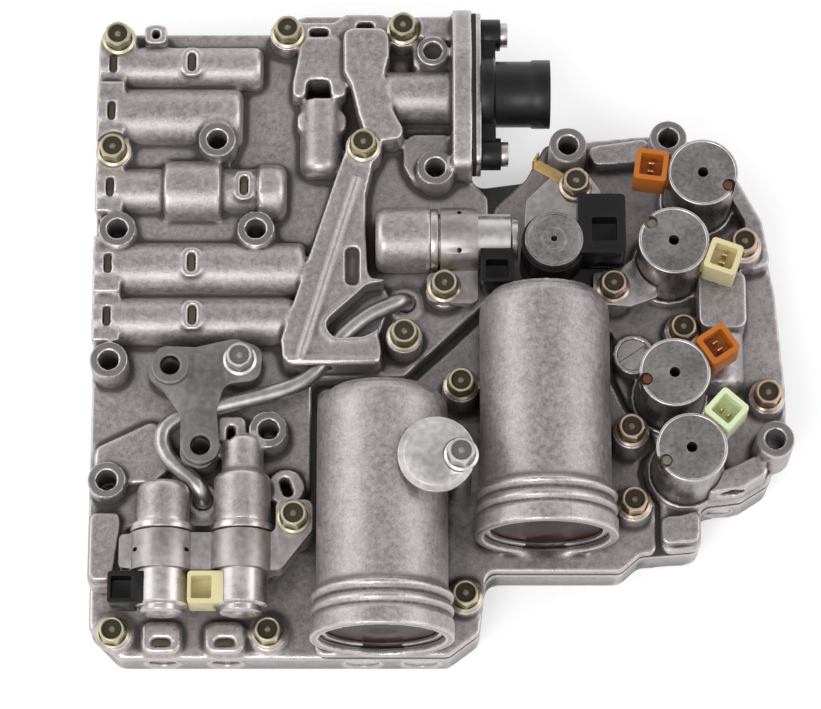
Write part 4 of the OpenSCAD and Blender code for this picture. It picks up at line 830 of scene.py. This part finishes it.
class VALVEBODY_OT_castings(bpy.types.Operator):
    """Gives the castings their filleted skins"""

    bl_idname = "valve_body.castings"
    bl_label = "Cast skins"

    def execute(self, context):
        s = context.scene.valve_body.casting
        grains = {
            "base_casting": 1.2, "upper_casting": 1.0,
            "accumulator_casting": 0.9, "solenoid_casting": 0.9,
        }
        skins = {
            node: cast_skin(node, s.grain * share, s.rounds, s.edge_share, s.triangles)
            for node, share in grains.items()
        }
        mark_shelter(skins.values(), 1.5 * MM)
        for node, skin in skins.items():
            settle(skin, node + "_skin", "cast_aluminium", SLOTS[node], node)
        dress("separator_plate", "plate_steel")
        return {"FINISHED"}


class VALVEBODY_OT_seats(bpy.types.Operator):
    """Lays turned rings on the bosses and the accumulator mouths"""

    bl_idname = "valve_body.seats"
    bl_label = "Turned seats"

    def execute(self, context):
        shell = Shell()
        for seats, hole, boss, depth in (
            (CASE_SEATS, CASE_HOLE_R, CASE_BOSS_R, 16),
            (BRACKET_SEATS, CASE_HOLE_R, CASE_BOSS_R, 5.2),
            ((BLIND_SEAT,), BLIND_HOLE_R, BLIND_BOSS_R, 4),
        ):
            lip = boss - 0.55
            ring = eased((
                (hole + 0.5, -depth), (hole - 0.02, -depth), (hole - 0.02, -0.7),
                (hole + 0.6, 0.03), (lip, 0.03), (lip + 0.25, -0.3), (lip - 0.2, -1.2),
                (hole + 0.9, -1.3), (hole + 0.5, -2.2),
            ), 0.25)
            for place in seats:
                shell.grid(turned(ring, place, sides=56), ring[:, 0] * MM, loop=True)
        mouth = eased((
            (CAP_R + 0.6, 2.6), (CAP_R - 0.02, 2.6), (CAP_R - 0.02, 1.3), (CAP_R + 0.9, 0.0),
            (ACC_R + BEAD_H - 0.7, 0.0), (ACC_R + BEAD_H - 0.45, 0.35), (ACC_R + BEAD_H - 0.8, 1.4),
            (CAP_R + 1.4, 1.6),
        ), 0.3)[::-1]
        for x, y in MOUTHS:
            grid = turned(mouth, (x, y, ACC_Z), (0, 1, 0), 128)
            shell.grid(grid, mouth[:, 0] * MM, loop=True)
        mesh = shell.mesh("turned_seats", 30)
        settle(mesh, "turned_seats", "turned_aluminium", "machined_aluminium")
        return {"FINISHED"}


class VALVEBODY_OT_bolts(bpy.types.Operator):
    """Makes the flange bolts in the places of the solids they stand for"""

    bl_idname = "valve_body.bolts"
    bl_label = "Flange bolts"

    def execute(self, context):
        s = context.scene.valve_body.bolt
        across, flange, head = s.across / MM, s.flange / MM, s.head / MM
        for node, look in (("flange_bolts", "gold_zinc"), ("steel_bolts", "silver_zinc")):
            shell = Shell()
            for number, (low, high) in enumerate(loose_boxes(node)):
                middle = (low + high) / 2
                seat = high[2] - head
                turn = BOLT_TURN * number
                flange_bolt(shell, middle, seat, low[2], across, flange, head, turn)
            settle(shell.mesh(node, 28), node + "_piece", look, SLOTS[node], node)
        return {"FINISHED"}


class VALVEBODY_OT_tube(bpy.types.Operator):
    """Sweeps the bent steel tube"""

    bl_idname = "valve_body.tube"
    bl_label = "Steel tube"

    def execute(self, context):
        path = smooth_route(TUBE_ROUTE, TUBE_STEPS) + (0, 0, TUBE_Z)
        shell = Shell()
        shell.grid(swept(path, TUBE_R))
        mesh = shell.mesh("steel_tube")
        settle(mesh, "steel_tube_piece", "tube_steel", SLOTS["steel_tube"], "steel_tube")
        return {"FINISHED"}


class VALVEBODY_OT_clamps(bpy.types.Operator):
    """Rounds the edges of the clamps, bracket, keepers, tab and disc"""

    bl_idname = "valve_body.clamps"
    bl_label = "Clamps and bracket"

    def execute(self, context):
        for node, look, width in (
            ("twin_solenoid_clamp", "clamp_aluminium", 0.7),
            ("single_solenoid_clamp", "clamp_aluminium", 0.6),
            ("hold_down_bracket", "bracket_steel", 0.6), ("retainer_disc", "disc_steel", 0.35),
            ("rear_keeper_plate", "bright_steel", 0.4), ("side_keeper_plate", "bright_steel", 0.4),
            ("earth_tab", "brass", 0.15),
        ):
            settle_bevelled(node, look, width)
        return {"FINISHED"}


class VALVEBODY_OT_valves(bpy.types.Operator):
    """Finishes plugs, keys, spools, springs, pistons, caps and rings"""

    bl_idname = "valve_body.valves"
    bl_label = "Valves and accumulators"

    def execute(self, context):
        for node, look, width in (
            ("bore_plugs", "bright_steel", 0.35), ("retaining_keys", "key_steel_in_shade", 0.25),
            ("accumulator_caps", "oiled_steel", 0.4), ("snap_rings", "bright_steel", 0.25),
        ):
            settle_bevelled(node, look, width)
        for node in NODES:
            if node.startswith(("spool_", "accumulator_piston_")):
                dress(node, "bright_steel")
            elif node.startswith("piston_seals_"):
                dress(node, "seal_rubber")
        for joint in frame["record"]["behaviour"]["joints"]:
            for spring in joint["deforming_nodes"]:
                self.fit_spring(spring["node"], joint)
        return {"FINISHED"}

    def fit_spring(self, node, joint):
        """A shaded copy of a spring in its node's place, with a mesh of its own."""
        coil = shaded(solid_copy(node), 60)
        piece = settle(coil, node + "_piece", "spring_steel", SLOTS[node], node)
        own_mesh(piece)


class VALVEBODY_OT_solenoids(bpy.types.Operator):
    """Rounds the solenoid cans and connectors and puts terminals in the sockets"""

    bl_idname = "valve_body.solenoids"
    bl_label = "Solenoids"

    def execute(self, context):
        edge = context.scene.valve_body.solenoid.edge / MM
        blades, rims = Shell(), Shell()
        for name, (x, y, turn, look) in SHIFT_SOLENOIDS.items():
            settle_bevelled("shift_can_" + name, "can_steel", edge)
            socket = settle_bevelled("shift_connector_" + name, look, 0.4).data
            reach = np.hypot(*(points_of(socket)[:, :2] / MM - (x, y)).T)
            inside = [reach < BOBBIN_BORE_R, reach < CAN_R - 0.3]
            # painted shade with stain: full in the bobbin bore, less inside the can
            store(socket, "oil", np.select(inside, [1.0, 0.8], 0.0))
            t = math.radians(turn)
            span = np.linspace(CAN_NOTCH + NOTCH_HALF, CAN_NOTCH + 360 - NOTCH_HALF, RIM_POINTS)
            sweep = t + np.radians(span)
            rim = np.full((RIM_POINTS, 3), (x, y, CAN_TOP - RIM_INSET))
            rim[:, :2] += (CAN_R - RIM_INSET) * np.stack([np.cos(sweep), np.sin(sweep)], 1)
            rims.grid(swept(rim, RIM_R, 16))
            for side in BLADE_SIDES:
                at = (
                    x + SOCKET_REACH * math.cos(t) - side * math.sin(t),
                    y + SOCKET_REACH * math.sin(t) + side * math.cos(t),
                    BLADE_FOOT,
                )
                blades.grid(block(at, BLADE_SIZE, turn))
        settle(blades.mesh("socket_blades"), "socket_blades", "brass", "brass")
        # brighter steel than the cans: a painted highlight along each rolled rim
        settle(rims.mesh("can_rims"), "can_rims", "bright_steel", SLOTS["shift_can_a"])
        for node, look in (
            ("black_solenoid_can", "can_steel"), ("black_solenoid_housing", "black_plastic"),
            ("pressure_solenoid_cans", "bright_steel"),
            ("level_solenoid_connector", "black_plastic"),
            ("front_solenoid_connector_1", "black_plastic"),
            ("front_solenoid_connector_2", "cream_plastic"),
        ):
            settle_bevelled(node, look, 0.4)
        return {"FINISHED"}


class VALVEBODY_OT_harness(bpy.types.Operator):
    """Rounds the harness connector and gives it brass pins"""

    bl_idname = "valve_body.harness"
    bl_label = "Harness connector"

    def execute(self, context):
        for node, look, width in (
            ("harness_gasket", "gasket_rubber", 0.3), ("harness_plate", "bright_steel", 0.35),
            ("harness_shell", "black_plastic", 0.35), ("harness_screws", "bright_steel", 0.35),
        ):
            settle_bevelled(node, look, width)
        pins = Shell()
        pin = eased(((0, -3), (0.9, -3), (0.9, 5.2), (0.45, 5.95), (0, 6)), 0.3)
        for angle in np.arange(PIN_COUNT) * TURN / PIN_COUNT:
            y, z = PIN_CIRCLE * math.cos(angle), PIN_CIRCLE * math.sin(angle)
            pins.grid(turned(pin, np.array(HARNESS) + (HARNESS_FLOOR, y, z), (1, 0, 0), 20))
        slot = SLOTS["harness_pins"]
        settle(pins.mesh("harness_pins"), "harness_pins_piece", "brass", slot, "harness_pins")
        return {"FINISHED"}


class VALVEBODY_OT_stage(bpy.types.Operator):
    """Sets the floor, the lights and the camera"""

    bl_idname = "valve_body.stage"
    bl_label = "Stage"

    def execute(self, context):
        s = context.scene.valve_body.stage
        scene = context.scene
        scene.view_settings.view_transform = "Standard"
        target = Vector(TARGET) * MM
        back = Vector((0, -math.cos(s.elevation), math.sin(s.elevation)))
        lens = bpy.data.cameras.new("camera")
        lens.lens, lens.sensor_width, lens.sensor_fit = s.lens, SENSOR, "HORIZONTAL"
        lens.clip_start, lens.clip_end = 0.01, 50
        camera = bpy.data.objects.new("camera", lens)
        camera.location = target + back * s.distance
        camera.rotation_euler = (-back).to_track_quat("-Z", "Y").to_euler()
        scene.collection.objects.link(camera)
        scene.camera = camera
        for name, place, size in LAMPS:
            lamp = bpy.data.objects.new(name, bpy.data.lights.new(name, "AREA"))
            lamp.data.energy, lamp.data.size = s.key if name == "key" else s.fill, size
            lamp.location = place
            lamp.rotation_euler = (target - lamp.location).to_track_quat("-Z", "Y").to_euler()
            scene.collection.objects.link(lamp)
        self.light_all_round(scene, s.sky)
        self.lay_floor(scene)
        return {"FINISHED"}

    def light_all_round(self, scene, strength):
        """A sky that is white where it is seen or mirrored near the horizon; where it lights, a
        bright band below a dim top."""
        world = bpy.data.worlds.new("sky")
        world.use_nodes = True
        sky = Graph(world.node_tree)
        way = sky.node("ShaderNodeTexCoord", output="Generated")
        dot = {0: way, 1: SKY_TOP}
        rise = sky.node("ShaderNodeVectorMath", {"operation": "DOT_PRODUCT"}, dot, "Value")
        band, top = rise.between(-0.1, 0.6), rise.between(0.6, 0.97)
        glow = (band * 0.95 + 0.05) * (1 - top * 0.66) * strength
        background = world.node_tree.nodes["Background"]
        background.inputs["Color"].default_value = (1, 1, 1, 1)
        backdrop = sky.seen("Glossy") * (1 - rise.between(0, 0.3))
        seen = (sky.seen("Camera", "Transmission") + backdrop).between(0, 1)
        level = seen + (1 - seen) * glow
        world.node_tree.links.new(level.socket, background.inputs["Strength"])
        scene.world = world

    def lay_floor(self, scene):
        """A wide pale floor that looks white and keeps the shadow."""
        mesh = bpy.data.meshes.new("floor")
        low, ways = CAD_BOX[0][2] - FLOOR_DROP, ((-1, -1), (1, -1), (1, 1), (-1, 1))
        corners = [(x * FLOOR_REACH, y * FLOOR_REACH, low) for x, y in ways]
        mesh.from_pydata(corners, [], [(0, 1, 2, 3)])
        floor = bpy.data.objects.new("floor", mesh)
        pale = Finish("pale_floor", roughness=0.9, specular_ior_level=0.1)
        pale.feed(base_color=pale.blend((0.62, 0.62, 0.62), (0.66, 0.66, 0.66), pale.noise(3, 2)))
        seen = pale.seen("Camera", "Glossy", "Transmission")
        pale.feed(emission_color=pale.blend((0.1, 0.1, 0.1), (1, 1, 1), seen))
        pale.shader.inputs["Emission Strength"].default_value = FLOOR_GLOW
        mesh.materials.append(pale.material)
        scene.collection.objects.link(floor)


OPERATORS = (
    VALVEBODY_OT_castings, VALVEBODY_OT_seats, VALVEBODY_OT_bolts, VALVEBODY_OT_tube,
    VALVEBODY_OT_clamps, VALVEBODY_OT_valves, VALVEBODY_OT_solenoids, VALVEBODY_OT_harness,
    VALVEBODY_OT_stage,
)


class VALVEBODY_PT_pieces(bpy.types.Panel):
    """Lists the pieces in the order they are made"""

    bl_label = "Valve body"
    bl_space_type = "VIEW_3D"
    bl_region_type = "UI"
    bl_category = "Valve body"

    def draw(self, context):
        settings = context.scene.valve_body
        for group in (settings.casting, settings.bolt, settings.solenoid, settings.stage):
            for key in group.__annotations__:
                self.layout.prop(group, key)
        for operator in OPERATORS:
            self.layout.operator(operator.bl_idname)


CLASSES = (
    CastingSettings, BoltSettings, SolenoidSettings, StageSettings, ValveBodySettings, *OPERATORS,
    VALVEBODY_PT_pieces,
)


def register():
    for item in CLASSES:
        bpy.utils.register_class(item)
    bpy.types.Scene.valve_body = PointerProperty(type=ValveBodySettings)


def unregister():
    del bpy.types.Scene.valve_body
    for item in reversed(CLASSES):
        bpy.utils.unregister_class(item)


def main():
    """Makes the pieces in order."""
    register()
    for operator in OPERATORS:
        group, name = operator.bl_idname.split(".")
        getattr(getattr(bpy.ops, group), name)()


if __name__ == "__main__":
    main()
